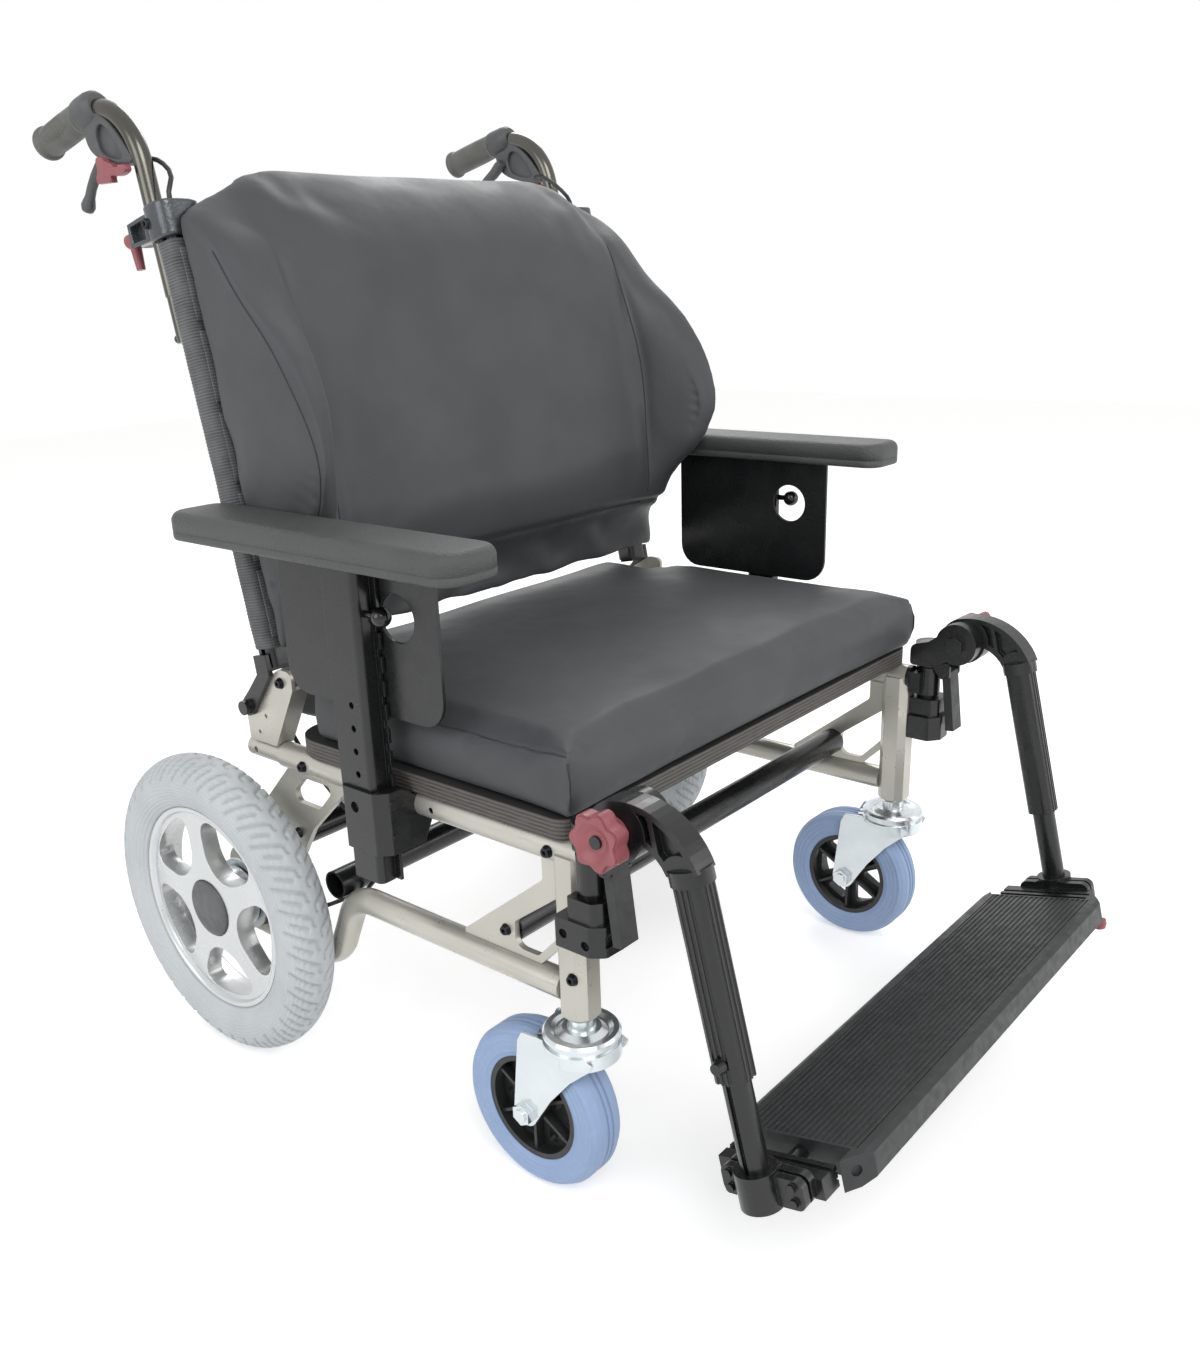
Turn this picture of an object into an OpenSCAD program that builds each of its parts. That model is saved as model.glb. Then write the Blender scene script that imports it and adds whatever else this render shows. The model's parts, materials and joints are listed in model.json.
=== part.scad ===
// Attendant-pushed comfort wheelchair with a reclining back, made of separate pieces.
// Left and right are the sitting person's. The front of the chair faces -Y and the floor is Z = 0.
// Every piece is drawn for the left side (+X) with Y counted back from the front uprights.

/* [Side frames] */
// Distance between the centre planes of the two side frames
frame_w = 546; // [500:2:600]
// Place of the front uprights, counted from the middle of the chair
upright_y = -200.7; // [-230:0.1:-160]
// Distance from the front uprights back to the rear axle
wheelbase = 444; // [420:2:480]
// Width of the chamfered square uprights
upright_size = 30; // [26:1:34]
// Height of the lower end of the uprights
upright_foot_z = 177; // [174:1:182]
// Diameter of the rail and frame tubes
tube_d = 25; // [22:0.5:28]
// Wall of the frame tubes
tube_wall = 2; // [1.5:0.25:3]
// Height of the centre of the seat rails
seat_rail_z = 325; // [315:1:335]
// Length of the seat rails behind the uprights
seat_rail_back = 362; // [355:1:385]
// Height of the centre of the lower rails
lower_rail_z = 200; // [196:1:206]
// Height of the lowered rear ends of the lower rails
rail_drop_z = 123; // [118:1:130]
// Bend radius of the lower rails, at the centre of the tube
rail_bend_r = 37.5; // [32:0.5:42]
// Thickness of the gussets and side plates
gusset_t = 6; // [4:0.5:8]
// Diameter of the cross tubes
crossbar_d = 28; // [24:1:30]

/* [Rear wheels] */
// Outer diameter of the rear tyres
wheel_d = 316; // [306:2:326]
// Width of the rear tyres
tyre_w = 54; // [50:1:56]
// Distance between the centre planes of the rear wheels
track_w = 627; // [618:1:650]
// Radius of the rim flange
rim_r = 108; // [100:1:114]
// Width of the rim across its flanges
rim_w = 36; // [32:1:42]
// Number of spokes and of openings between them
spoke_count = 5; // [4:1:6]
// Radius of the wheel axles
axle_r = 8; // [6:0.5:10]
// Number of slanted tread blocks on each half of a tyre
tread_count = 36; // [24:2:44]

/* [Casters] */
// Diameter of the caster wheels
caster_d = 150; // [140:2:156]
// Width of the caster tyres
caster_w = 37; // [30:1:38]
// Distance of the caster axle behind the swivel axis
caster_trail = 47; // [40:1:52]
// Radius of the swivel races
race_r = 33; // [28:1:36]
// Radius of the plastic wheel centre
caster_centre_r = 48.5; // [44:0.5:54]

/* [Seat] */
// Width of the seat cushion and its board
seat_w = 570; // [540:2:574]
// Depth of the seat cushion
seat_depth = 402; // [390:2:420]
// Thickness of the seat cushion at its edges
cushion_h = 57; // [45:1:70]
// Extra height of the middle of the seat cushion
cushion_crown = 6; // [0:1:12]
// Thickness of the layered board
board_t = 17; // [12:1:20]
// Depth of the board
board_depth = 340; // [320:2:350]

/* [Back] */
// Lean of the back tubes from upright
back_lean = 11; // [6:1:16]
// Distance between the two back tubes
back_post_w = 536; // [520:2:540]
// Length of the back tubes
back_post_l = 415; // [390:1:430]
// Depth and width of the back tube profile
back_post_size = [28, 24];
// Thickness of the textile sleeve on the back tubes
sleeve_t = 1.5; // [1:0.25:2]
// Height of the top edge of the back cushion
back_top_z = 853; // [830:1:870]
// Thickness of the back cushion
back_cushion_t = 60; // [50:1:80]
// How far the side wings stand out in front of the middle
wing_reach = 94; // [60:1:110]

/* [Push handles] */
// Distance between the two push handles
handle_w = 536; // [520:2:550]
// Radius of the handle tubes
handle_r = 11.5; // [10:0.5:12.5]
// Bend radius at the top of the handles
handle_bend_r = 65; // [55:1:75]
// Droop of the grips below level
grip_droop = 13.7; // [8:0.1:18]
// Length of the grips
grip_l = 87; // [80:1:110]

/* [Armrests] */
// Distance between the centres of the arm pads
pad_track_w = 630; // [620:2:640]
// Width of the arm pads
pad_w = 62; // [50:1:70]
// Length of the arm pads
pad_l = 356; // [320:2:380]
// Height of the underside of the pads
pad_z = 542; // [535:1:560]
// Thickness of the pads
pad_h = 25; // [20:1:32]
// Pitch of the height holes in the posts
hole_pitch = 20.5; // [18:0.5:25]
// Radius of the height holes
hole_r = 3; // [2:0.25:4]

/* [Legrests] */
// Distance between the two leg tubes
leg_w = 582; // [570:2:600]
// Lean of the legs from upright
leg_lean = 14; // [8:1:20]
// Length of the fluted outer leg tubes
leg_tube_l = 151; // [130:1:160]
// Distance from the knee pivot down to the footplate top
foot_drop = 267; // [255:1:280]
// Width of the footplate
footplate_w = 524; // [500:2:530]
// Depth of the footplate
footplate_d = 124; // [110:1:140]
// Thickness of the footplate
footplate_t = 25; // [20:1:28]
// Number of ribs on the footplate
rib_count = 19; // [12:1:22]

/* [Hidden] */

$fn = 48;
overrun = 1;
slide_gap = 0.3;
fit_gap = 0.2;
pin_gap = 0.05;
small = 0.01;

frame_x = frame_w / 2;
tube_r = tube_d / 2;
gusset_x = frame_x;
axle_z = wheel_d / 2;
wheel_x = track_w / 2;
rail_top_z = seat_rail_z + tube_r;
rail_under_z = seat_rail_z - tube_r;
upright_half = upright_size / 2;

silver = [0.78, 0.78, 0.75];
zinc = [0.82, 0.86, 0.9];
black = [0.12, 0.12, 0.13];
dark = [0.24, 0.25, 0.26];
cloth = [0.33, 0.34, 0.35];
grey = [0.45, 0.45, 0.45];
red = [0.62, 0.3, 0.32];
pale = [0.78, 0.81, 0.84];
blue = [0.6, 0.7, 0.85];

// Points along an arc
function arc(c, r, a0, a1, n = 8) =
  [for (i = [0:n]) c + r * [cos(a0 + (a1 - a0) * i / n), sin(a0 + (a1 - a0) * i / n)]];

function unit(v) = v / norm(v);

// One corner of an outline, turned into an arc of radius r that meets both edges
function corner(p, a, b, r, n) =
  r <= 0 ? [p] :
  let (u = unit(a - p), v = unit(b - p), half = acos(u * v) / 2)
  let (t = r / tan(half), c = p + unit(u + v) * r / sin(half))
  let (s = p + u * t - c, e = p + v * t - c)
  let (a0 = atan2(s.y, s.x), d = atan2(e.y, e.x) - a0)
  let (turn = d > 180 ? d - 360 : d < -180 ? d + 360 : d)
  [for (i = [0:n]) c + r * [cos(a0 + turn * i / n), sin(a0 + turn * i / n)]];

// An outline with its corners rounded, by one radius or by a list of them
function rounded(points, r, n = 6) =
  let (k = len(points))
  [for (i = [0:k - 1])
    each corner(points[i], points[(i + k - 1) % k], points[(i + 1) % k],
      is_list(r) ? r[i] : r, n)];

function box_outline(w, d) = [[-w / 2, -d / 2], [w / 2, -d / 2], [w / 2, d / 2], [-w / 2, d / 2]];

module both_sides() {
  children();
  mirror([1, 0, 0]) children();
}

module on_side(side) {
  if (side > 0) children();
  else mirror([1, 0, 0]) children();
}

module placed() translate([0, upright_y, 0]) children();

// Draws an outline given as (y, z) as a plate of thickness t, centred on x
module plate(x, t) {
  translate([x - t / 2, 0, 0]) rotate([90, 0, 90]) linear_extrude(t) children();
}

// A round bar between two points
module rod(p, q, r, fn = 48) {
  d = q - p;
  translate(p)
    rotate([0, acos(d.z / norm(d)), atan2(d.y, d.x)])
      cylinder(h = norm(d), r = r, $fn = fn);
}

// A round bar along X, at (y, z)
module x_bar(y, z, x0, x1, r, fn = 48) {
  translate([x0, y, z]) rotate([0, 90, 0]) cylinder(h = x1 - x0, r = r, $fn = fn);
}

// A bent round bar in a plane of constant x: centre (y, z), from angle a0 by turn degrees
module bend(x, centre, bend_r, a0, turn, r) {
  translate([x, centre.x, centre.y])
    rotate([90, 0, 90]) rotate([0, 0, a0])
      rotate_extrude(angle = turn) translate([bend_r, 0]) circle(r + bend_over);
}

// Straight tubes reach a little way into the bends, which are a hair thicker
bend_lap = 1.6;
bend_over = 0.06;
function beyond(p, q) = p + unit(p - q) * bend_lap;
module lapped(p, q, r) rod(beyond(p, q), beyond(q, p), r);

// A button-head screw along X, its seat at x, its head pointing outward
screw_head_r = 5.5;
screw_head_h = 4;
screw_socket_r = 2.2;
screw_socket_h = 2.2;
module screw_x(x, y, z, head_r = screw_head_r) {
  difference() {
    translate([x, y, z]) rotate([0, 90, 0])
      cylinder(h = screw_head_h, r1 = head_r, r2 = head_r * 0.7);
    translate([x + screw_head_h - screw_socket_h, y, z]) rotate([0, 90, 0])
      cylinder(h = screw_socket_h + overrun, r = screw_socket_r, $fn = 6);
  }
}

// Sweeps a round cord along a list of points
function cord_dir(path, i) =
  unit(path[min(i + 1, len(path) - 1)] - path[max(i - 1, 0)]);
function cord_ring(path, i, r, n) =
  let (d = cord_dir(path, i))
  let (u = unit(cross(d, abs(d.x) < 0.9 ? [1, 0, 0] : [0, 1, 0])), v = cross(d, u))
  [for (k = [0:n - 1]) path[i] + r * (cos(360 * k / n) * u + sin(360 * k / n) * v)];
module cord_tube(path, r, n = 8) {
  m = len(path);
  points = concat([for (i = [0:m - 1]) each cord_ring(path, i, r, n)], [path[0], path[m - 1]]);
  sides = [for (i = [0:m - 2], k = [0:n - 1]) each [
    [i * n + k, (i + 1) * n + (k + 1) % n, i * n + (k + 1) % n],
    [i * n + k, (i + 1) * n + k, (i + 1) * n + (k + 1) % n]]];
  start = [for (k = [0:n - 1]) [m * n, k, (k + 1) % n]];
  finish = [for (k = [0:n - 1]) [m * n + 1, (m - 1) * n + (k + 1) % n, (m - 1) * n + k]];
  polyhedron(points, concat(sides, start, finish));
}

// Side frames
rail_front = -12;
insert_end_y = 411;
insert_r = tube_r - tube_wall - fit_gap / 2;
insert_grip = 60;
insert_hole_y = 398;
insert_hole_r = 3;
rail_hole_y = 150;

module seat_rails() color(silver) placed() both_sides() difference() {
  rod([frame_x, rail_front, seat_rail_z], [frame_x, seat_rail_back, seat_rail_z], tube_r);
  rod([frame_x, rail_front - overrun, seat_rail_z],
    [frame_x, seat_rail_back + overrun, seat_rail_z], tube_r - tube_wall);
  x_bar(rail_hole_y, seat_rail_z, frame_x, frame_x + tube_r + overrun, insert_hole_r);
}

module rail_inserts() color(silver) placed() both_sides() difference() {
  rod([frame_x, seat_rail_back - insert_grip, seat_rail_z],
    [frame_x, insert_end_y, seat_rail_z], insert_r);
  x_bar(insert_hole_y, seat_rail_z, frame_x - tube_r, frame_x + tube_r, insert_hole_r);
}

upright_chamfer = 7;
upright_foot_r = 12;
stem_hole_r = 8;
module uprights() color(silver) placed() both_sides() difference() {
  intersection() {
    translate([frame_x, 0, upright_foot_z])
      linear_extrude(seat_rail_z - upright_foot_z)
        polygon(rounded(box_outline(upright_size, upright_size), upright_chamfer, 1));
    translate([frame_x, 0, upright_foot_z])
      cylinder(h = seat_rail_z - upright_foot_z, r1 = upright_foot_r,
        r2 = upright_foot_r + seat_rail_z - upright_foot_z);
  }
  rod([frame_x, -upright_size, seat_rail_z], [frame_x, upright_size, seat_rail_z], tube_r);
  translate([frame_x, 0, upright_foot_z - overrun])
    cylinder(h = head_stem_l + overrun, r = stem_hole_r);
}

// The lower rail runs level, drops through two equal bends and runs level again to its end
rail_turn = 65;
bend_start_y = 253.5;
rail_rear_y = 455;
bend_1 = [bend_start_y, lower_rail_z - rail_bend_r];
bend_1_end = bend_1 + rail_bend_r * [sin(rail_turn), cos(rail_turn)];
drop_left = lower_rail_z - rail_drop_z - 2 * rail_bend_r * (1 - cos(rail_turn));
drop_run = drop_left / tan(rail_turn);
bend_2_start = bend_1_end + [drop_run, -drop_left];
bend_2 = bend_2_start + rail_bend_r * [sin(rail_turn), cos(rail_turn)];

module lower_rail_solid(r) {
  rod([frame_x, upright_half, lower_rail_z], [frame_x, bend_1.x + bend_lap, lower_rail_z], r);
  bend(frame_x, bend_1, rail_bend_r, 90 - rail_turn, rail_turn, r);
  lapped([frame_x, bend_1_end.x, bend_1_end.y], [frame_x, bend_2_start.x, bend_2_start.y], r);
  bend(frame_x, bend_2, rail_bend_r, 270 - rail_turn, rail_turn, r);
  rod([frame_x, bend_2.x - bend_lap, rail_drop_z], [frame_x, rail_rear_y, rail_drop_z], r);
}
rail_cap_t = 4;
module lower_rails() color(silver) placed() both_sides() {
  lower_rail_solid(tube_r);
  rod([frame_x, rail_rear_y - rail_cap_t, rail_drop_z],
    [frame_x, rail_rear_y + rail_cap_t / 2, rail_drop_z], tube_r - tube_wall);
}

// Front gussets: a strut down from the seat rail and a strut up from the lower rail
gusset_top = [upright_half, rail_under_z];
gusset_tip_y = 128;
gusset_strut = 30;
lower_rail_top_z = lower_rail_z + tube_r;
window_r = 6;
module side_gussets() color(silver) placed() both_sides() plate(gusset_x, gusset_t) difference() {
  polygon(rounded([gusset_top, gusset_top + [gusset_strut * 0.6, 0],
    gusset_top + [gusset_strut * 0.6, -gusset_strut * 0.7],
    [gusset_tip_y, lower_rail_top_z + 4], [gusset_tip_y, lower_rail_top_z],
    [upright_half + gusset_strut * 0.8, lower_rail_top_z],
    [upright_half, lower_rail_top_z + gusset_strut * 0.8]],
    [0, 0, window_r, 0, 0, 0, 0]));
  polygon(rounded([[upright_half - overrun, rail_under_z - gusset_strut],
    [upright_half - overrun, lower_rail_top_z + gusset_strut * 1.2],
    [upright_half + gusset_strut * 0.9, lower_rail_top_z + gusset_strut * 0.22],
    [upright_half + gusset_strut * 1.75, lower_rail_top_z + gusset_strut * 0.22],
    [upright_half + gusset_strut * 1.75, lower_rail_top_z + gusset_strut]],
    [0, 0, window_r, window_r * 1.6, window_r]));
}

// Rear side plates: down from the seat rail to the axle, on the lowered end of the lower rail
plate_front_y = 270;
plate_knee = [331, 255];
plate_foot_y = 408;
axle_bore_r = axle_r + pin_gap;
drop_top_z = rail_drop_z + tube_r;
plate_outline = [
  [plate_front_y, rail_under_z], plate_knee, [plate_foot_y, drop_top_z],
  [wheelbase + 40, drop_top_z], [wheelbase + 38, axle_z + 30],
  [seat_rail_back - 2, rail_under_z]];
window_1 = [
  [plate_front_y + 20, rail_under_z - 5], [plate_front_y + 47, rail_under_z - 33],
  [plate_front_y + 80, rail_under_z - 33], [plate_front_y + 83, rail_under_z - 22],
  [plate_front_y + 66, rail_under_z - 5]];
window_2 = [
  [plate_knee.x + 42, plate_knee.y + 22], [plate_knee.x + 62, plate_knee.y - 62],
  [wheelbase - 16, axle_z + 38], [wheelbase + 12, axle_z + 40]];
module rear_side_plates() color(silver) placed() both_sides() difference() {
  union() {
    plate(frame_x, gusset_t) difference() {
      polygon(rounded(plate_outline, [0, 14, 4, 8, 20, 0]));
      polygon(rounded(window_1, window_r));
      polygon(rounded(window_2, window_r * 1.4));
    }
    x_bar(wheelbase, axle_z, frame_x - gusset_t * 1.5, frame_x + gusset_t * 1.5, axle_r * 2);
  }
  x_bar(wheelbase, axle_z, frame_x - gusset_t * 2, frame_x + gusset_t * 2, axle_bore_r);
}

crossbar_r = crossbar_d / 2;
front_bar = [77.5, 232];
rear_bar = [354, 246];
bend_bar = bend_1 + (rail_bend_r + tube_r + crossbar_r + 3 * bend_over) * [cos(45), sin(45)];
plate_inner_x = frame_x - gusset_t / 2;
bend_bar_end = frame_x + tube_r * 0.7;
module cross_tube(at, end_x) difference() {
  x_bar(at.x, at.y, -end_x, end_x, crossbar_r);
  x_bar(at.x, at.y, -end_x - overrun, end_x + overrun, crossbar_r - tube_wall);
}
module crossbars() color(black) placed() {
  cross_tube(front_bar, plate_inner_x);
  cross_tube(rear_bar, plate_inner_x);
  cross_tube(bend_bar, bend_bar_end);
}

// Rear brackets that carry the back: a plate with a flange bent inward along its front edge
pivot = [395, 371];
pivot_r = 5;
bracket_t = 4;
bracket_x = 281;
bracket_flange = 20;
bracket_foot_z = seat_rail_z + insert_r + small;
bracket_outline = [
  [seat_rail_back + 2, bracket_foot_z], [pivot.x + 9, bracket_foot_z], [pivot.x + 11, pivot.y],
  [pivot.x - 4, pivot.y + 16], [pivot.x - 48, pivot.y + 44], [pivot.x - 66, pivot.y + 44],
  [pivot.x - 66, pivot.y + 26]];
bracket_holes = [[375.2, 363.9], [388, 345.5]];
bracket_bolt = [346, 402];
bracket_foot_w = bracket_x + bracket_t / 2 - frame_x + 2;
flange_low = bracket_outline[0];
flange_high = bracket_outline[6];
flange_dir = unit(flange_high - flange_low);
flange_side = [flange_dir.y, -flange_dir.x] * bracket_t;
module recline_brackets() color(silver) placed() both_sides() difference() {
  union() {
    plate(bracket_x, bracket_t) polygon(rounded(bracket_outline, [0, 5, 9, 6, 8, 8, 6]));
    plate(bracket_x + bracket_t / 2 - bracket_flange / 2, bracket_flange)
      polygon([flange_low, flange_low + flange_side + [bracket_t, 0],
        flange_high + flange_side, flange_high]);
    translate([frame_x - insert_r * 0.8, flange_low.x, bracket_foot_z - small])
      cube([bracket_x + bracket_t / 2 - frame_x + insert_r * 0.8,
        pivot.x + 9 - flange_low.x, bracket_t]);
  }
  x_bar(pivot.x, pivot.y, bracket_x - bracket_flange, bracket_x + bracket_t,
    pivot_r + pin_gap);
  for (h = bracket_holes)
    x_bar(h.x, h.y, bracket_x - bracket_t, bracket_x + bracket_t, insert_hole_r * 0.7);
}

outer_rail_x = frame_x + tube_r;
rail_bolt_ys = [17.5, 323];
upright_bolt = [-6, 220];
module frame_bolts() color(black) placed() both_sides() {
  for (y = rail_bolt_ys) screw_x(outer_rail_x, y, seat_rail_z);
  screw_x(frame_x + upright_half, upright_bolt.x, upright_bolt.y);
  screw_x(gusset_x + gusset_t / 2, front_bar.x, front_bar.y);
  screw_x(gusset_x + gusset_t / 2, rear_bar.x, rear_bar.y);
  screw_x(bracket_x + bracket_t / 2, bracket_bolt.x, bracket_bolt.y);
}

// Seat
board_corner_r = 34;
board_front_r = 14;
board_front = -2;
board_z = rail_top_z + small;
board_seat_gap = 0.3;
cushion_front = -8;
cushion_z = board_z + board_t + board_seat_gap;
module seat_board() color(dark) placed() translate([0, 0, board_z]) linear_extrude(board_t)
  polygon(rounded([[-seat_w / 2, board_front], [seat_w / 2, board_front],
    [seat_w / 2, board_front + board_depth], [-seat_w / 2, board_front + board_depth]],
    [board_front_r, board_front_r, board_corner_r, board_corner_r]));

// A soft pad as stacked rings. Its sides draw in between the corners and its top is crowned.
pad_rings = 6;
pad_side = 8;
pad_stops = [0, 0.13, 0.27, 0.41, 0.55, 0.68, 0.775, 0.825, 1];
notch_share = 0.88;
pad_corner_share = 0.09;
pad_pull = 5;
pad_edge = 7;
pad_corner_n = 4;
function ring_point(w, d, i) =
  let (k = floor(i / pad_side), m = i - k * pad_side, f = m / pad_side)
  let (x = k == 0 ? f : k == 1 ? 1 : k == 2 ? 1 - f : 0)
  let (y = k == 0 ? 0 : k == 1 ? pad_stops[m] : k == 2 ? 1 : pad_stops[pad_side - m])
  [w * (x - 0.5), d * (y - 0.5)];
function pulled(p, w, d, pull) =
  let (u = 2 * p.x / w, v = 2 * p.y / d)
  let (edge = p.y > d * 0.31 ? notch_share : 1)
  [edge * (p.x - pull * u * pow(u, 6) * max(1 - pow(v, 4), 0)),
  p.y - pull * v * pow(v, 6) * max(1 - pow(u, 4), 0)];
function pad_ring(w, d, inset, z, pull) =
  [for (i = [0:4 * pad_side - 1])
    let (q = pulled(ring_point(w, d, i), w, d, pull))
    [q.x * (1 - 2 * inset / w), q.y * (1 - 2 * inset / d), z]];
function crown_at(t) = 1 - pow(t, 2.4);
module soft_pad(w, d, h, crown) {
  n = 4 * pad_side;
  edge = [[pad_edge * 0.7, 0], [0, pad_edge * 0.6], [-pad_edge * 0.2, h * 0.35],
    [-pad_edge * 0.2, h * 0.65], [0, h - pad_edge * 0.6], [pad_edge * 0.7, h]];
  steps = pad_rings;
  top = [for (k = [1:steps - 1])
    let (t = 1 - k / steps)
    pad_ring(w, d, pad_edge * 0.7 + (1 - t) * d / 2 * 0.98, h + crown * crown_at(t), 0)];
  rings = concat([for (e = edge) pad_ring(w, d, e.x, e.y, pad_pull)], top);
  m = len(rings);
  points = concat([for (r = rings) each r], [[0, 0, 0], [0, 0, h + crown]]);
  sides = [for (i = [0:m - 2], k = [0:n - 1]) each [
    [i * n + k, (i + 1) * n + k, (i + 1) * n + (k + 1) % n],
    [i * n + k, (i + 1) * n + (k + 1) % n, i * n + (k + 1) % n]]];
  low = [for (k = [0:n - 1]) [m * n, k, (k + 1) % n]];
  high = [for (k = [0:n - 1]) [m * n + 1, (m - 1) * n + (k + 1) % n, (m - 1) * n + k]];
  polyhedron(points, concat(sides, low, high));
}
module seat_cushion() color(cloth) placed()
  translate([0, cushion_front + seat_depth / 2, cushion_z])
    soft_pad(seat_w, seat_depth, cushion_h, cushion_crown);

// Armrests
post_w = 20;
post_d = 34;
post_y = 199;
post_x = 309;
post_low_z = 259;
post_wall = 2.5;
post_corner = 6;
socket_z = 288;
socket_h = 57;
socket_wall = 3;
socket_d = 58;
socket_outer_x = post_x + post_w / 2 + slide_gap + socket_wall;
socket_chamfer = 10;
socket_hole_z = 328;
socket_hole_r = 5;
cheek_in_x = frame_x - tube_r * 0.5;
guide_h = 8;
rivet_r = 4;
post_outline = rounded(box_outline(post_w, post_d), post_corner);
cavity_w = post_w + 2 * slide_gap;
cavity_d = post_d + 2 * slide_gap;
socket_in_x = post_x - post_w / 2 - slide_gap;
module socket_shell() difference() {
  translate([0, post_y, socket_z]) linear_extrude(socket_h) difference() {
    polygon(rounded([[socket_in_x, -socket_d / 2],
      [socket_outer_x - socket_chamfer, -socket_d / 2],
      [socket_outer_x, -socket_d / 2 + socket_chamfer],
      [socket_outer_x, socket_d / 2 - socket_chamfer],
      [socket_outer_x - socket_chamfer, socket_d / 2],
      [socket_in_x, socket_d / 2]], [0, 3, 3, 3, 3, 0]));
    polygon([[socket_in_x - overrun, -socket_d / 2 + socket_wall],
      [socket_outer_x - socket_chamfer, -socket_d / 2 + socket_wall],
      [socket_outer_x - socket_wall, -socket_d / 2 + socket_chamfer],
      [socket_outer_x - socket_wall, socket_d / 2 - socket_chamfer],
      [socket_outer_x - socket_chamfer, socket_d / 2 - socket_wall],
      [socket_in_x - overrun, socket_d / 2 - socket_wall]]);
  }
  x_bar(post_y + 5, socket_hole_z, post_x, socket_outer_x + overrun, socket_hole_r);
}
module socket_guide(z) translate([post_x, post_y, z]) linear_extrude(guide_h) difference() {
  polygon([[-cavity_w / 2 - socket_wall * 0.4, -socket_d / 2 + socket_wall],
    [cavity_w / 2 - socket_chamfer * 0.6, -socket_d / 2 + socket_wall],
    [cavity_w / 2, -cavity_d / 2 - small],
    [cavity_w / 2, cavity_d / 2 + small],
    [cavity_w / 2 - socket_chamfer * 0.6, socket_d / 2 - socket_wall],
    [-cavity_w / 2 - socket_wall * 0.4, socket_d / 2 - socket_wall]]);
  polygon(box_outline(cavity_w, cavity_d));
}
module cheek() rotate([90, 0, 0]) linear_extrude(socket_wall) difference() {
  polygon([[socket_in_x, socket_z], [socket_in_x, socket_z + socket_h],
    [seat_w / 2 + 2, socket_z + socket_h * 0.92], [seat_w / 2 + 2, rail_top_z - 1],
    [frame_x + 5, rail_top_z - 1], [frame_x, seat_rail_z],
    [cheek_in_x, seat_rail_z - tube_r * 0.8], [cheek_in_x, socket_z + socket_h * 0.3],
    [cheek_in_x + socket_wall * 3, socket_z]]);
  translate([frame_x, seat_rail_z]) circle(tube_r + small);
}
module arm_sockets() color(black) placed() both_sides() {
  socket_shell();
  socket_guide(socket_z);
  socket_guide(socket_z + socket_h - guide_h);
  translate([0, post_y - socket_d / 2 + socket_wall, 0]) cheek();
  translate([0, post_y + socket_d / 2, 0]) cheek();
  for (z = [socket_z + socket_h * 0.25, socket_z + socket_h * 0.8])
    translate([post_x, post_y - socket_d / 2, z]) rotate([90, 0, 0])
      cylinder(h = screw_head_h / 3, r = rivet_r);
}

strip_w = 6;
strip_t = 3;
rack_gap = 7;
first_hole_z = 358;
hole_rows = 4;
tab_hole_z = 458;
knob_z = 498;
knob_pin_r = 3;
post_top_z = pad_z - 2;
post_inner_d = post_d - 2 * post_wall;
post_inner_w = post_w - 2 * post_wall;
module arm_posts() color(black) placed() both_sides() difference() {
  translate([post_x, post_y, post_low_z]) linear_extrude(post_top_z - post_low_z) difference() {
    union() {
      polygon(post_outline);
      translate([post_w / 2 - strip_t, post_d / 2 - strip_w]) square([strip_t, 2 * strip_w]);
      translate([-post_w / 2, -post_d / 2 - strip_w])
        square([strip_t, post_d / 2 + strip_w]);
    }
    polygon(box_outline(post_inner_w, post_inner_d));
  }
  for (i = [0:hole_rows - 1])
    x_bar(post_y, first_hole_z + i * hole_pitch, post_x, post_x + post_w, hole_r);
  for (i = [0:hole_rows + 2])
    translate([post_x - post_w, post_y - post_d / 2 - strip_w - overrun,
      first_hole_z + i * hole_pitch])
      cube([post_w, strip_w * 0.6 + overrun, rack_gap]);
  translate([post_x, post_y, knob_z]) rotate([90, 0, 0])
    cylinder(h = post_d, r = knob_pin_r + pin_gap);
  translate([post_x - post_w, post_y - post_d, socket_z - overrun])
    cube([post_w / 2 + strip_t + overrun, post_d / 2 - slide_gap, socket_h + 2 * overrun]);
  translate([post_x, post_y + post_d / 2 + slide_gap / 2, post_low_z - overrun])
    cube([post_w, post_d, socket_z + socket_h + overrun - post_low_z]);
}

// The pin of each knob runs in the post's front wall, in line with the holes of the sliding tube
knob_ball_r = 8.5;
knob_ball_y = 163;
pin_reach = 2.3;
tube_play = 0.5;
module lock_knob(side) color(black) placed() on_side(side) {
  translate([post_x, knob_ball_y, knob_z]) sphere(knob_ball_r);
  translate([post_x, post_y - post_d / 2 + pin_reach, knob_z]) rotate([90, 0, 0])
    cylinder(h = post_y - post_d / 2 + pin_reach - knob_ball_y, r = knob_pin_r);
}

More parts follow.
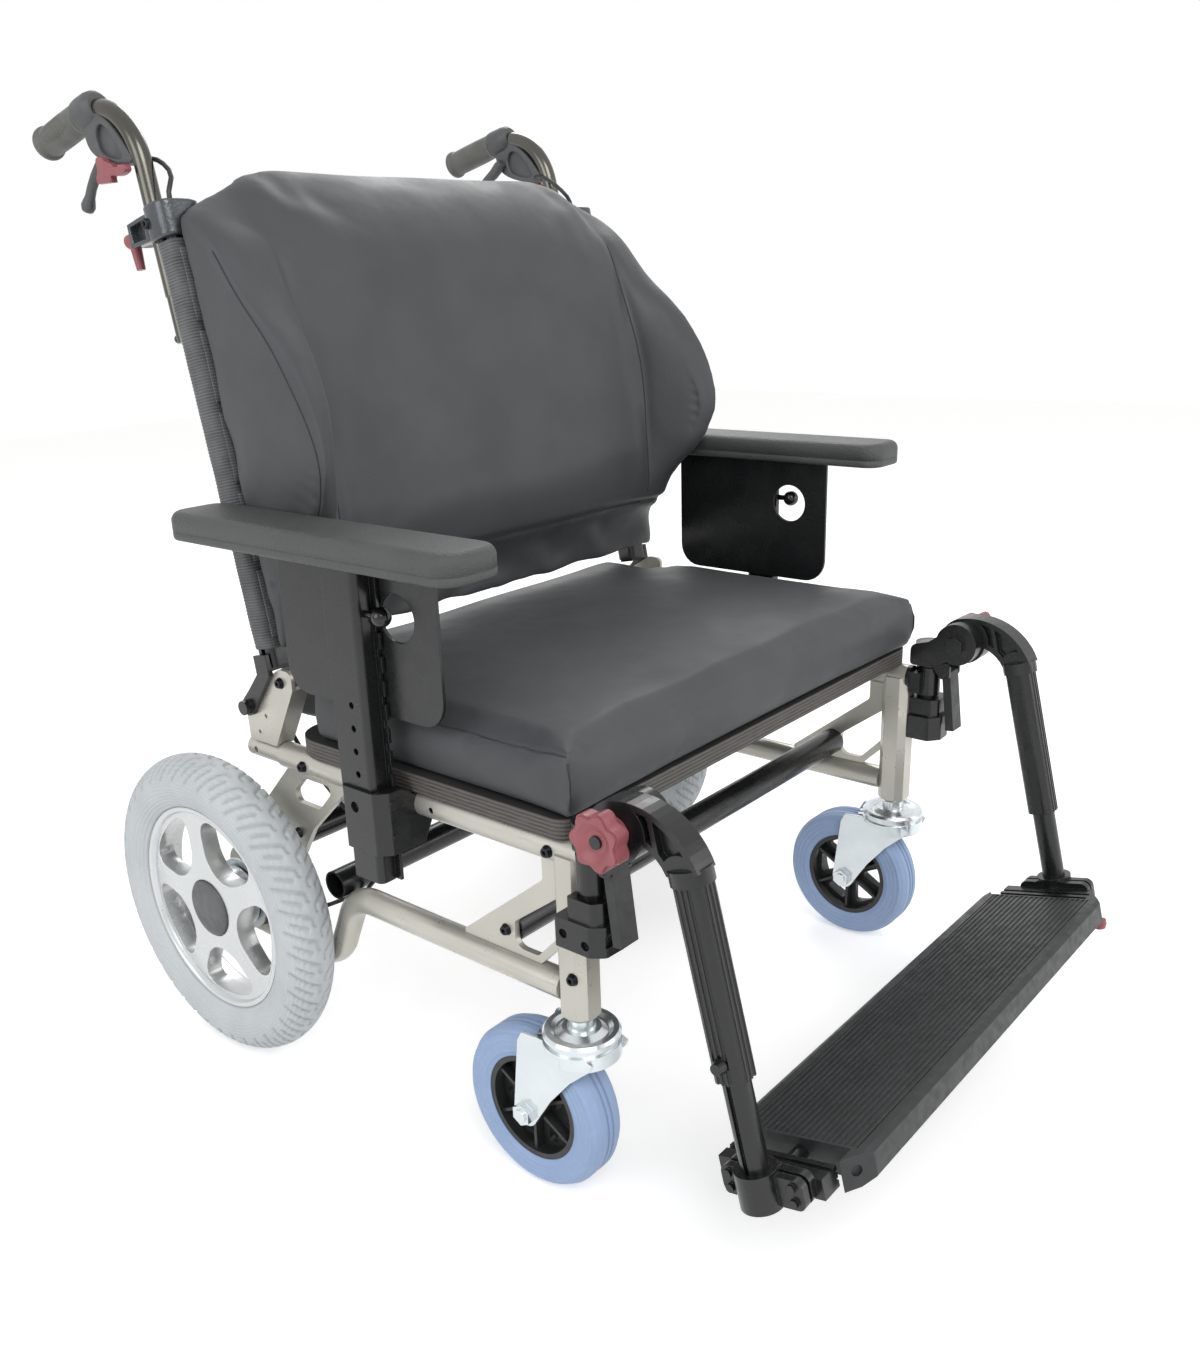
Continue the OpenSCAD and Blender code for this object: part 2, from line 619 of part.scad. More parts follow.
panel_t = 3;
panel_x = 297;
panel_front_y = 110;
panel_rear_y = 308;
panel_low_z = 408;
panel_corner = 25;
finger_hole = [157, 495];
finger_hole_r = 20.5;
inner_tube_low_z = 372;
inner_tube_w = post_inner_w - 2 * tube_play;
inner_tube_d = post_inner_d - 2 * tube_play;
arm_tab_w = 30;
module side_panel(side) color(dark) placed() on_side(side) {
  difference() {
    plate(panel_x - panel_t * 0.1, panel_t) difference() {
      polygon(rounded([[panel_front_y, panel_low_z], [panel_rear_y, panel_low_z],
        [panel_rear_y, pad_z], [panel_front_y, pad_z]],
        [panel_corner, panel_corner, 0, 0]));
      translate(finger_hole) circle(finger_hole_r);
    }
  }
  difference() {
    translate([post_x, post_y, inner_tube_low_z])
      linear_extrude(pad_z - inner_tube_low_z)
        polygon(box_outline(inner_tube_w, inner_tube_d));
    for (i = [-1:hole_rows + 1])
      translate([post_x, post_y, knob_z - i * hole_pitch]) rotate([90, 0, 0])
        cylinder(h = post_d, r = knob_pin_r + slide_gap);
  }
  translate([panel_x - panel_t, post_y - arm_tab_w / 2, post_top_z + tube_play])
    cube([post_x - panel_x + panel_t, arm_tab_w, pad_z - post_top_z - tube_play]);
}

pad_x = pad_track_w / 2;
pad_front_y = 44;
pad_round = 9;
pad_seat_gap = 0.2;
module arm_pad(side) color(black) placed() on_side(side)
  translate([pad_x, pad_front_y + pad_l / 2, pad_z + pad_seat_gap]) intersection() {
    linear_extrude(pad_h) polygon(rounded(box_outline(pad_w, pad_l), pad_w * 0.3));
    translate([0, pad_l / 2 + overrun, 0]) rotate([90, 0, 0])
      linear_extrude(pad_l + 2 * overrun)
        polygon(rounded([[-pad_w / 2 + 2, 0], [pad_w / 2 - 2, 0], [pad_w / 2, 4],
          [pad_w / 2, pad_h], [-pad_w / 2, pad_h], [-pad_w / 2, 4]],
          [1, 1, 1, pad_round, pad_round, 1]));
    translate([-pad_w / 2 - overrun, 0, 0]) rotate([90, 0, 90])
      linear_extrude(pad_w + 2 * overrun)
        polygon(rounded([[-pad_l / 2 + 3, 0], [pad_l / 2 - 3, 0], [pad_l / 2, 4],
          [pad_l / 2, pad_h], [-pad_l / 2, pad_h], [-pad_l / 2, 4]],
          [1, 1, 1, pad_round, pad_round, 1]));
  }

// Casters
caster_r = caster_d / 2;
head_stem_l = 14;
head_t = 6;
race_gap = 0.3;
crown_t = 3.5;
crown_z = upright_foot_z - 24;
lower_race_h = 5;
race_z = crown_z + crown_t + lower_race_h + race_gap;
kingpin_r = 6;
kingpin_head_r = 9;
kingpin_head_h = 5;
neck_r = 12;
module caster_heads() color(zinc) placed() both_sides() translate([frame_x, 0, 0]) {
  translate([0, 0, race_z]) rotate_extrude()
    polygon([[0, 0], [race_r, 0], [race_r, head_t * 0.4], [race_r - 2, head_t * 0.8],
      [race_r * 0.8, head_t * 0.8], [race_r * 0.68, head_t * 0.4], [race_r * 0.5, head_t],
      [neck_r, head_t], [neck_r - 1, upright_foot_z - race_z - small],
      [stem_hole_r - fit_gap, upright_foot_z - race_z - small],
      [stem_hole_r - fit_gap, upright_foot_z - race_z + head_stem_l - small],
      [0, upright_foot_z - race_z + head_stem_l - small]]);
  translate([0, 0, crown_z - race_gap - kingpin_head_h])
    cylinder(h = race_z - crown_z + race_gap + kingpin_head_h + small, r = kingpin_r);
  translate([0, 0, crown_z - race_gap - kingpin_head_h])
    cylinder(h = kingpin_head_h, r = kingpin_head_r);
}

leg_t = 3;
fork_gap = 42;
leg_x = fork_gap / 2 + leg_t / 2;
leg_end_r = 13;
caster_bolt_r = 6;
nut_r = 10;
nut_h = 8;
skirt_h = 9;
leg_outline = concat(
  [[-race_r * 0.6, crown_z + crown_t], [-race_r * 0.9, crown_z], [-race_r * 0.85, crown_z - skirt_h * 0.6],
    [-5, crown_z - skirt_h * 3], [caster_trail - 30, crown_z - skirt_h * 6]],
  arc([caster_trail, caster_r], leg_end_r, 200, 360, 10),
  [[caster_trail + 5, crown_z - 8], [caster_trail, crown_z + crown_t * 0.4],
    [race_r * 0.9, crown_z + crown_t]]);
module caster_fork(side) color(zinc) placed() on_side(side) translate([frame_x, 0, 0]) {
  difference() {
    union() {
      for (s = [-1, 1]) plate(s * leg_x, leg_t) polygon(leg_outline);
      translate([0, 0, crown_z]) cylinder(h = crown_t, r = race_r);
      translate([0, 0, crown_z + crown_t]) cylinder(h = lower_race_h, r = race_r - 2);
      difference() {
        translate([0, 0, crown_z - skirt_h]) cylinder(h = skirt_h, r = race_r);
        translate([0, 0, crown_z - skirt_h - overrun])
          cylinder(h = skirt_h + overrun + small, r = race_r - leg_t);
        translate([-race_r - overrun, -race_r * 0.1, crown_z - skirt_h - overrun])
          cube([2 * (race_r + overrun), 2 * race_r, skirt_h + overrun + small]);
      }
      for (a = [-24, -8, 8, 24]) rotate([0, 0, a])
        translate([-3, race_r - 2, crown_z]) cube([6, 7, crown_t]);
    }
    translate([0, 0, crown_z - overrun])
      cylinder(h = crown_t + lower_race_h + 2 * overrun, r = kingpin_r + pin_gap);
  }
  x_bar(caster_trail, caster_r, -leg_x - leg_t / 2 - nut_h, leg_x + leg_t / 2 + nut_h,
    caster_bolt_r);
  for (s = [-1, 1]) x_bar(caster_trail, caster_r,
    s > 0 ? leg_x + leg_t / 2 : -leg_x - leg_t / 2 - nut_h * 0.8,
    s > 0 ? leg_x + leg_t / 2 + nut_h * 0.8 : -leg_x - leg_t / 2, nut_r, 6);
}

caster_shoulder = 6;
tread_rib = 1;
module wheel_at(y, z, x = 0) translate([x, y, z]) rotate([90, 0, 90]) children();
module caster_tyre(side) color(blue) placed() on_side(side) translate([frame_x, 0, 0])
  wheel_at(caster_trail, caster_r) rotate_extrude($fn = 96) polygon([
    [caster_centre_r, -caster_w * 0.45], [caster_centre_r + 4, -caster_w / 2],
    [caster_r - caster_shoulder, -caster_w / 2], [caster_r - 3, -caster_w * 0.42],
    [caster_r - tread_rib, -caster_w * 0.3], [caster_r, -caster_w * 0.27],
    [caster_r, -caster_w * 0.12], [caster_r - tread_rib, -caster_w * 0.1],
    [caster_r - tread_rib, -caster_w * 0.06], [caster_r, -caster_w * 0.04],
    [caster_r, caster_w * 0.04], [caster_r - tread_rib, caster_w * 0.06],
    [caster_r - tread_rib, caster_w * 0.1], [caster_r, caster_w * 0.12],
    [caster_r, caster_w * 0.27], [caster_r - tread_rib, caster_w * 0.3],
    [caster_r - 3, caster_w * 0.42], [caster_r - caster_shoulder, caster_w / 2],
    [caster_centre_r + 4, caster_w / 2], [caster_centre_r, caster_w * 0.45]]);

caster_spokes = 6;
caster_hub_r = 13;
caster_hub_l = fork_gap - 2 * slide_gap;
caster_ring_t = 5;
caster_web_t = 6;
caster_window_r = 4;
module caster_centre(side) color(black) placed() on_side(side) translate([frame_x, 0, 0])
  wheel_at(caster_trail, caster_r) difference() {
    union() {
      difference() {
        translate([0, 0, -caster_w * 0.44])
          cylinder(h = caster_w * 0.88, r = caster_centre_r - fit_gap / 4, $fn = 96);
        translate([0, 0, -caster_w / 2]) cylinder(h = caster_w,
          r = caster_centre_r - caster_ring_t, $fn = 96);
      }
      translate([0, 0, -caster_hub_l / 2]) cylinder(h = caster_hub_l, r = caster_hub_r);
      translate([0, 0, -caster_web_t / 2]) linear_extrude(caster_web_t) difference() {
        circle(caster_centre_r - caster_ring_t + small);
        for (i = [0:caster_spokes - 1]) rotate(360 / caster_spokes * i)
          polygon(rounded([[caster_hub_r + 4, -2.5], [caster_centre_r - 9, -14],
            [caster_centre_r - 9, 14], [caster_hub_r + 4, 2.5]],
            [1, caster_window_r, caster_window_r, 1]));
      }
      for (i = [0:caster_spokes - 1]) rotate(360 / caster_spokes * (i + 0.5))
        translate([caster_hub_r - 1, -1.5, -caster_w * 0.36])
          cube([caster_centre_r - caster_hub_r - 3, 3, caster_w * 0.72]);
    }
    translate([0, 0, -caster_w]) cylinder(h = 2 * caster_w, r = caster_bolt_r + pin_gap);
  }

// Rear wheels
tyre_r = wheel_d / 2;
bead_r = rim_r - 4;
tyre_half = tyre_w / 2;
rim_half = rim_w / 2;
groove_depth = 2.5;
groove_w = 3.4;
groove_l = 22;
groove_slant = 24;
module tread_groove(i, flip) rotate([0, 0, 360 / tread_count * (i + (flip > 0 ? 0 : 0.5))])
  translate([tyre_r - groove_depth, 0, flip * tyre_w * 0.19])
    rotate([flip * groove_slant, 0, 0]) rotate([0, flip * 17, 0])
      translate([0, -groove_w / 2, -groove_l / 2]) cube([tyre_r, groove_w, groove_l]);
module rear_tyre(side) color(pale) placed() on_side(side)
  wheel_at(wheelbase, axle_z, wheel_x) difference() {
    rotate_extrude($fn = 144) polygon([
      [bead_r, -rim_half + 3.7], [rim_r + fit_gap, -rim_half + 2.3],
      [rim_r + fit_gap, -rim_half], [rim_r + 5, -rim_half - 4],
      [tyre_r - 32, -tyre_half], [tyre_r - 20, -tyre_half * 0.97],
      [tyre_r - 10, -tyre_half * 0.84], [tyre_r - 3.4, -tyre_half * 0.56],
      [tyre_r - 0.6, -tyre_half * 0.22], [tyre_r, 0],
      [tyre_r - 0.6, tyre_half * 0.22], [tyre_r - 3.4, tyre_half * 0.56],
      [tyre_r - 10, tyre_half * 0.84], [tyre_r - 20, tyre_half * 0.97],
      [tyre_r - 32, tyre_half], [rim_r + 5, rim_half + 4], [rim_r + fit_gap, rim_half],
      [rim_r + fit_gap, rim_half - 2.3], [bead_r, rim_half - 3.7]]);
    for (i = [0:tread_count - 1], flip = [-1, 1]) tread_groove(i, flip);
  }

hub_r = 32;
cap_r = 31;
cap_t = 2.5;
face_t = 8;
face_out = rim_half - 2;
hub_in = -22;
spoke_window = [[38, 0], [91, -53], [91, 53]];
window_radii = [14, 15, 15];
rim_wall = 4;
module rear_rim(side) color(silver) placed() on_side(side)
  wheel_at(wheelbase, axle_z, wheel_x) difference() {
    union() {
      rotate_extrude($fn = 144) polygon([
        [bead_r - rim_wall, -rim_half], [rim_r, -rim_half], [rim_r, -rim_half + 2],
        [bead_r - fit_gap, -rim_half + 3.4], [bead_r - fit_gap, rim_half - 3.4],
        [rim_r, rim_half - 2], [rim_r, rim_half], [bead_r - rim_wall * 1.5, rim_half]]);
      translate([0, 0, face_out - face_t]) linear_extrude(face_t) difference() {
        circle(bead_r - rim_wall / 2, $fn = 144);
        for (i = [0:spoke_count - 1]) rotate(360 / spoke_count * i)
          polygon(rounded(spoke_window, window_radii, 8));
      }
      translate([0, 0, hub_in]) cylinder(h = face_out - hub_in, r = hub_r);
      translate([0, 0, face_out]) cylinder(h = cap_t, r = cap_r);
      for (i = [0:spoke_count - 1]) rotate(360 / spoke_count * (i + 0.5))
        translate([hub_r - 2, -4, face_out - face_t * 2])
          cube([bead_r - hub_r - 1, 8, face_t * 1.5]);
    }
    translate([0, 0, hub_in - overrun])
      cylinder(h = face_out - hub_in - face_t / 2 + overrun, r = axle_r + pin_gap);
  }

axle_in_x = frame_x - gusset_t * 1.5 - 6;
drum_r = 38;
drum_t = 3;
drum_x = wheel_x + hub_in - 1;
drum_arm = 46;
module wheel_axles() color(zinc) placed() both_sides() {
  x_bar(wheelbase, axle_z, axle_in_x, wheel_x + face_out - face_t, axle_r);
  x_bar(wheelbase, axle_z, axle_in_x - 6, axle_in_x, axle_r * 1.6, 6);
  difference() {
    union() {
      x_bar(wheelbase, axle_z, drum_x - drum_t, drum_x, drum_r);
      plate(drum_x - drum_t / 2, drum_t) polygon(rounded([
        [wheelbase - drum_arm, axle_z - 8], [wheelbase, axle_z - 14],
        [wheelbase, axle_z + 14], [wheelbase - drum_arm, axle_z + 8]], 3));
    }
    x_bar(wheelbase, axle_z, drum_x - drum_t - overrun, drum_x + overrun, axle_r - small);
  }
}

// Hangers of the legrests
knee = [-66, 371];
post_at = [285, -28];
post_r = 11;
post_top = 346;
post_foot = 262;
hanger_inner_x = 263;
boss_in_x = 281;
boss_out_x = 303;
boss_r = 24;
knee_bolt_r = 5;
knob_hub_x = 303.5;
knob_x = 312;
knob_t = 18;
plug_head = 4;
plug_grip = 26;
collar_r = 12.8;
hanger_r = 15;
collar_z = [306, 337];
module hanger_sockets() color(black) placed() both_sides() {
  rod([frame_x, rail_front + plug_grip, seat_rail_z], [frame_x, rail_front, seat_rail_z],
    insert_r);
  rod([frame_x, rail_front, seat_rail_z], [frame_x, rail_front - plug_head, seat_rail_z],
    tube_r);
  difference() {
    union() {
      translate([post_at.x, post_at.y, collar_z[0]])
        cylinder(h = collar_z[1] - collar_z[0], r = collar_r);
      translate([frame_x - tube_r * 0.8, post_at.y, collar_z[0] + 4])
        cube([post_at.x - frame_x + tube_r * 0.8,
          rail_front - plug_head - post_at.y, collar_z[1] - collar_z[0] - 8]);
    }
    translate([post_at.x, post_at.y, collar_z[0] - overrun])
      cylinder(h = collar_z[1] - collar_z[0] + 2 * overrun, r = post_r + pin_gap);
  }
}

hanger_z = [342, 364];
hanger_disc_r = 22;
lug_pin = [-52, 333];
lug_t = 3;
paddle_w = 20;
paddle_x = 286;
paddle_pin_r = 2.5;
hex_t = 6;
module leg_hangers() color(black) placed() both_sides() {
  difference() {
    union() {
      translate([post_at.x, post_at.y, hanger_z[0]])
        cylinder(h = hanger_z[1] - hanger_z[0], r = hanger_r);
      translate([post_at.x, post_at.y, post_foot])
        cylinder(h = post_top - post_foot, r = post_r);
      x_bar(knee.x, knee.y, hanger_inner_x, boss_in_x - slide_gap, hanger_disc_r);
      plate((hanger_inner_x + boss_in_x - slide_gap) / 2,
        boss_in_x - slide_gap - hanger_inner_x)
        polygon(rounded([[post_at.y + hanger_r * 0.8, hanger_z[0]],
          [post_at.y + hanger_r * 0.8, hanger_z[1]],
          [post_at.y - 8, hanger_z[1] + 6], [knee.x, knee.y + hanger_disc_r],
          [knee.x, knee.y - hanger_disc_r * 0.7], [post_at.y - 10, hanger_z[0]]],
          [4, 8, 6, 0, 0, 4]));
      for (s = [-1, 1])
        plate(paddle_x + s * (paddle_w / 2 + slide_gap + lug_t / 2), lug_t)
          polygon(rounded([[lug_pin.x - 5, lug_pin.y - 5], [lug_pin.x + 5, lug_pin.y - 5],
            [post_at.y - 6, hanger_z[0] + 2], [post_at.y - 6, hanger_z[0] + 8],
            [lug_pin.x - 5, lug_pin.y + 10]], [4, 4, 0, 0, 2]));
    }
    for (s = [-1, 1])
      x_bar(lug_pin.x, lug_pin.y, paddle_x - paddle_w, paddle_x + paddle_w,
        paddle_pin_r + pin_gap);
  }
  x_bar(knee.x, knee.y, boss_in_x - slide_gap - small, knob_x + knob_t - 4, knee_bolt_r);
  x_bar(knee.x, knee.y, hanger_inner_x - hex_t, hanger_inner_x, nut_r, 6);
}

bracket_z = [258, 284, 303];
latch_bore_r = post_r + pin_gap;
module hanger_brackets() color(black) placed() both_sides() difference() {
  union() {
    translate([0, 0, bracket_z[0]]) linear_extrude(bracket_z[1] - bracket_z[0])
      polygon(rounded([[264, -upright_half - fit_gap / 4], [frame_x + upright_half + fit_gap / 4, -upright_half - fit_gap / 4],
        [frame_x + upright_half + fit_gap / 4, -3], [304, -3], [304, -38], [296, -49],
        [276, -50], [264, -40]], [2, 0, 0, 2, 5, 5, 5, 5]));
    translate([0, 0, bracket_z[1]]) linear_extrude(bracket_z[2] - bracket_z[1])
      polygon(rounded([[268, -upright_half - fit_gap / 4], [302, -upright_half - fit_gap / 4],
        [302, -40], [294, -46], [276, -46], [268, -40]], [2, 2, 6, 6, 6, 6]));
  }
  translate([post_at.x, post_at.y, bracket_z[0] + 3.8])
    cylinder(h = bracket_z[2], r = latch_bore_r);
  translate([288, -60, bracket_z[0] + 8]) cube([8, 14, 10]);
  x_bar(-12, bracket_z[0] + 13, 300, 306, 4);
  x_bar(-34, bracket_z[0] + 9, 300, 306, 4);
}

paddle_l = 68;
paddle_t = 9;
paddle_tilt = 7;
module release_paddle(side) color(black) placed() on_side(side) {
  translate([paddle_x, lug_pin.x, lug_pin.y]) rotate([-paddle_tilt, 0, 0]) difference() {
    translate([-paddle_w / 2, -paddle_t / 2, -paddle_l + 5]) cube([paddle_w, paddle_t, paddle_l]);
    translate([-paddle_w / 2 + 3, 0, -paddle_l]) cube([paddle_w - 6, paddle_t, paddle_l - 6]);
    translate([-paddle_w, -paddle_t / 2, 2]) rotate([45, 0, 0]) cube([paddle_w * 2, 6, 6]);
  }
  x_bar(lug_pin.x, lug_pin.y, paddle_x - paddle_w / 2 - lug_t, paddle_x + paddle_w / 2 + lug_t,
    paddle_pin_r);
}

// Legs, drawn in a frame with its origin on the knee pivot and Z up along the leg
leg_x_mid = leg_w / 2;
leg_axis_f = 52;
arm_centre = [2, -42];
arm_out_r = 66;
arm_in_r = 38;
arm_t = 22;
arm_web_t = 9;
arm_rim = 5;
arm_end_d = 32;
leg_outer = [27, 27];
leg_inner_r = 11;
leg_bore_r = leg_inner_r + slide_gap;
flute_r = 1.6;
clamp_screw_up = 16;
module in_leg() translate([0, knee.x, knee.y]) rotate([-leg_lean, 0, 0]) children();

// An outline given as (forward, up) in the leg's frame, as a plate centred on x
module leg_plate(x, t) translate([x + t / 2, 0, 0]) rotate([90, 0, -90])
  linear_extrude(t) children();
module arm_outline(grow) polygon(concat(
  arc(arm_centre, arm_out_r - grow, 95, 10, 14),
  arc(arm_centre, arm_in_r + grow, 14, 130, 10)));
module leg_arm_solid() {
  difference() {
    union() {
      leg_plate(leg_x_mid + 1, arm_t) arm_outline(0);
      x_bar(0, 0, boss_in_x, boss_out_x, boss_r);
      translate([leg_x_mid, -leg_axis_f, -arm_end_d - 8])
        cylinder(h = 12, r = leg_outer.x * 0.62);
    }
    for (s = [-1, 1])
      leg_plate(leg_x_mid + 1 + s * (arm_web_t / 2 + arm_t / 2), arm_t)
        difference() {
          arm_outline(arm_rim);
          circle(boss_r + 3);
          translate([leg_axis_f, -arm_end_d - 2]) circle(leg_outer.x * 0.62 + 1);
          polygon([[boss_r + 8, 40], [boss_r + 12, 40], [boss_r + 12, -40],
            [boss_r + 8, -40]]);
        }
    x_bar(0, 0, boss_in_x - overrun, boss_out_x + overrun, knee_bolt_r + pin_gap);
  }
}
module leg_tube_solid() {
  difference() {
    translate([leg_x_mid, -leg_axis_f, -arm_end_d - 8 - leg_tube_l])
      linear_extrude(leg_tube_l) difference() {
        polygon(rounded(box_outline(leg_outer.x, leg_outer.y), 9));
        circle(leg_bore_r);
        for (k = [-1, 0, 1]) translate([leg_outer.x / 2, k * 5]) circle(flute_r);
        for (k = [-1, 0, 1]) translate([k * 5, -leg_outer.y / 2]) circle(flute_r);
      }
  }
  translate([leg_x_mid, -leg_axis_f, -arm_end_d - 8 - leg_tube_l + clamp_screw_up])
    rotate([0, 90, 0]) translate([0, 0, leg_outer.x / 2 - small])
      cylinder(h = 7, r1 = 6, r2 = 4.5);
}
module leg_arms() color(black) placed() both_sides() in_leg() {
  leg_arm_solid();
  leg_tube_solid();
}

// The knob's rim runs in and out seven times
lobes = 7;
lobe_r = 21.5;
lobe_wave = 2;
knob_steps = 84;
function lobed(r, wave) = [for (i = [0:knob_steps - 1])
  let (a = 360 * i / knob_steps) (r + wave * cos(lobes * a)) * [cos(a), sin(a)]];
module leg_knob(side) color(red) placed() on_side(side)
  translate([knob_hub_x, knee.x, knee.y]) rotate([90, 0, 90]) difference() {
    union() {
      cylinder(h = knob_x - knob_hub_x + small, r = 13);
      translate([0, 0, knob_x - knob_hub_x]) linear_extrude(2)
        polygon(lobed(lobe_r - 1.5, lobe_wave));
      translate([0, 0, knob_x - knob_hub_x + 2]) linear_extrude(knob_t - 6)
        polygon(lobed(lobe_r, lobe_wave));
      translate([0, 0, knob_x - knob_hub_x + knob_t - 4]) linear_extrude(2)
        polygon(lobed(lobe_r - 1.5, lobe_wave));
    }
    translate([0, 0, knob_x - knob_hub_x + knob_t - 6])
      cylinder(h = 5, r1 = 9, r2 = 17);
    translate([0, 0, -overrun]) cylinder(h = knob_t * 2, r = knee_bolt_r + pin_gap);
  }

clamp_top = -(foot_drop - 4);
clamp_h = 30;
clamp_r = 17;
inner_up = 70;
module leg_extensions() color(black) placed() both_sides() in_leg() difference() {
  translate([leg_x_mid, -leg_axis_f, clamp_top - clamp_h + 3])
    cylinder(h = -clamp_top + clamp_h - 3 - arm_end_d - 8 - leg_tube_l + inner_up,
      r = leg_inner_r);
  translate([leg_x_mid + leg_inner_r - 3, -leg_axis_f - 2, clamp_top - clamp_h])
    cube([6, 4, leg_tube_l + 80]);
}

foot_pin_r = 6;
wall_t = 6;
ear_f = [-32, 40];
ear_t = 7;
ear_x = 276;
bar_x = [256, 275.5];
bar_f = [-46, 46];
bar_h = 17;
bar_drop = 5;
module foot_clamps() color(black) placed() both_sides() in_leg() difference() {
  union() {
    translate([leg_x_mid, -leg_axis_f, clamp_top - clamp_h])
      cylinder(h = clamp_h, r = clamp_r);
    for (x = [ear_x, leg_x_mid - 5])
      leg_plate(x + ear_t / 2, ear_t) polygon(rounded([
        [leg_axis_f + ear_f[0], clamp_top - 3], [leg_axis_f + ear_f[1], clamp_top - 3],
        [leg_axis_f + ear_f[1], clamp_top - clamp_h + 3],
        [leg_axis_f + ear_f[0], clamp_top - clamp_h + 3]], 7));
    translate([ear_x, -leg_axis_f - clamp_r * 0.8, clamp_top - clamp_h + 2])
      cube([leg_x_mid - ear_x, clamp_r * 1.6, clamp_h - 4]);
    translate([bar_x[0], -leg_axis_f - bar_f[1], -foot_drop - bar_drop - bar_h])
      cube([bar_x[1] - bar_x[0] + 1, bar_f[1] - bar_f[0], bar_h]);
    x_bar(-plate_mid_f, -foot_drop - footplate_t / 2, notch_x - wall_t - 4, bar_x[0] + overrun,
      foot_pin_r);
    for (f = [-25, 31], z = [-0.3, -0.7])
      x_bar(-leg_axis_f - f, clamp_top + clamp_h * z, leg_x_mid - 3, leg_x_mid + 5, 3.5);
  }
  translate([leg_x_mid, -leg_axis_f, clamp_top - clamp_h + 3 - fit_gap])
    cylinder(h = clamp_h, r = leg_inner_r + fit_gap / 2);
  for (z = [0.35, 0.7])
    translate([bar_x[0] - overrun, -leg_axis_f - 60, -foot_drop - bar_drop - bar_h * z])
      cube([3, 120, 2]);
  translate([bar_x[0] + 5, -leg_axis_f - 60, -foot_drop - bar_drop - 2]) cube([4, 120, 3]);
}

// Footplate: ribs along X on top, chamfered corners, and an open notch at each end for the bar
plate_mid_f = 57;
notch_f = [-51, 51];
notch_x = 240;
foot_corner = 26;
rib_pitch = 5.3;
rib_h = 1;
rib_w = 1.8;
half_foot = footplate_w / 2;
catch_at = [notch_x + 8, -plate_mid_f - footplate_d / 2 + 8.5];
catch_pin_r = 3;
catch_knob_r = 6.5;
catch_deep = 14;
half_depth = footplate_d / 2;
deck_drop = rib_h;
deck_t = 7;
edge_hole_r = 4.5;
module footplate_shell() {
  intersection() {
    translate([-half_foot, 0, 0]) rotate([90, 0, 90]) linear_extrude(footplate_w)
      polygon(rounded([[-half_depth, -footplate_t + 4], [-half_depth + 8, -footplate_t],
        [half_depth - 8, -footplate_t], [half_depth, -footplate_t + 4],
        [half_depth, -2], [half_depth - 5, 0], [-half_depth + 5, 0], [-half_depth, -2]],
        [2, 2, 2, 2, 1, 2, 2, 1]));
    translate([0, 0, -footplate_t - overrun]) linear_extrude(footplate_t + 2 * overrun)
      polygon(rounded([[-half_foot + foot_corner, -half_depth], [half_foot - foot_corner, -half_depth],
        [half_foot, -half_depth + foot_corner * 0.7], [half_foot, half_depth - foot_corner * 0.7],
        [half_foot - foot_corner, half_depth], [-half_foot + foot_corner, half_depth],
        [-half_foot, half_depth - foot_corner * 0.7],
        [-half_foot, -half_depth + foot_corner * 0.7]], 4));
  }
}
module footplate() color(black) placed() in_leg()
  translate([0, -plate_mid_f, -foot_drop]) difference() {
    union() {
      difference() {
        footplate_shell();
        translate([-notch_x + wall_t, -half_depth + 12, -footplate_t - overrun])
          cube([2 * (notch_x - wall_t), footplate_d - 24, footplate_t - deck_t + overrun]);
        translate([-notch_x + 2, -half_depth + 12, -deck_drop])
          cube([2 * notch_x - 4, footplate_d - 24, deck_drop + overrun]);
      }
      for (i = [0:rib_count - 1])
        translate([-notch_x + 2, (i - (rib_count - 1) / 2) * rib_pitch - rib_w / 2, -deck_drop - small])
          cube([2 * notch_x - 4, rib_w, rib_h]);
      for (x = [-150, -50, 50, 150])
        translate([x - 2, -half_depth + 10, -footplate_t + 3])
          cube([4, footplate_d - 20, footplate_t - deck_t]);
    }
    both_sides() translate([notch_x, notch_f[0] + 5, -footplate_t - overrun])
      cube([half_foot, notch_f[1] - notch_f[0], footplate_t + 2 * overrun]);
    x_bar(0, -footplate_t / 2, notch_x - 2 * wall_t, notch_x + overrun, foot_pin_r + pin_gap);
    x_bar(0, -footplate_t / 2, -notch_x - overrun, -notch_x + 2 * wall_t, foot_pin_r + pin_gap);
    translate([catch_at.x, catch_at.y + plate_mid_f, -footplate_t - overrun])
      cylinder(h = catch_deep + overrun, r = catch_pin_r + pin_gap);
    both_sides() translate([half_foot - foot_corner * 0.55, -half_depth + foot_corner * 0.4, -footplate_t * 0.45])
      rotate([0, 90, -55]) translate([0, 0, -overrun]) cylinder(h = 20, r = edge_hole_r);
  }

module footplate_catch() color(red) placed() in_leg()
  translate([catch_at.x, catch_at.y, -foot_drop - footplate_t]) {
    translate([0, 0, -9]) cylinder(h = 4, r1 = 5, r2 = catch_knob_r);
    translate([0, 0, -5]) cylinder(h = 5 - slide_gap, r = catch_knob_r);
    translate([0, 0, -5]) cylinder(h = 5 + catch_deep - 2, r = catch_pin_r);
  }

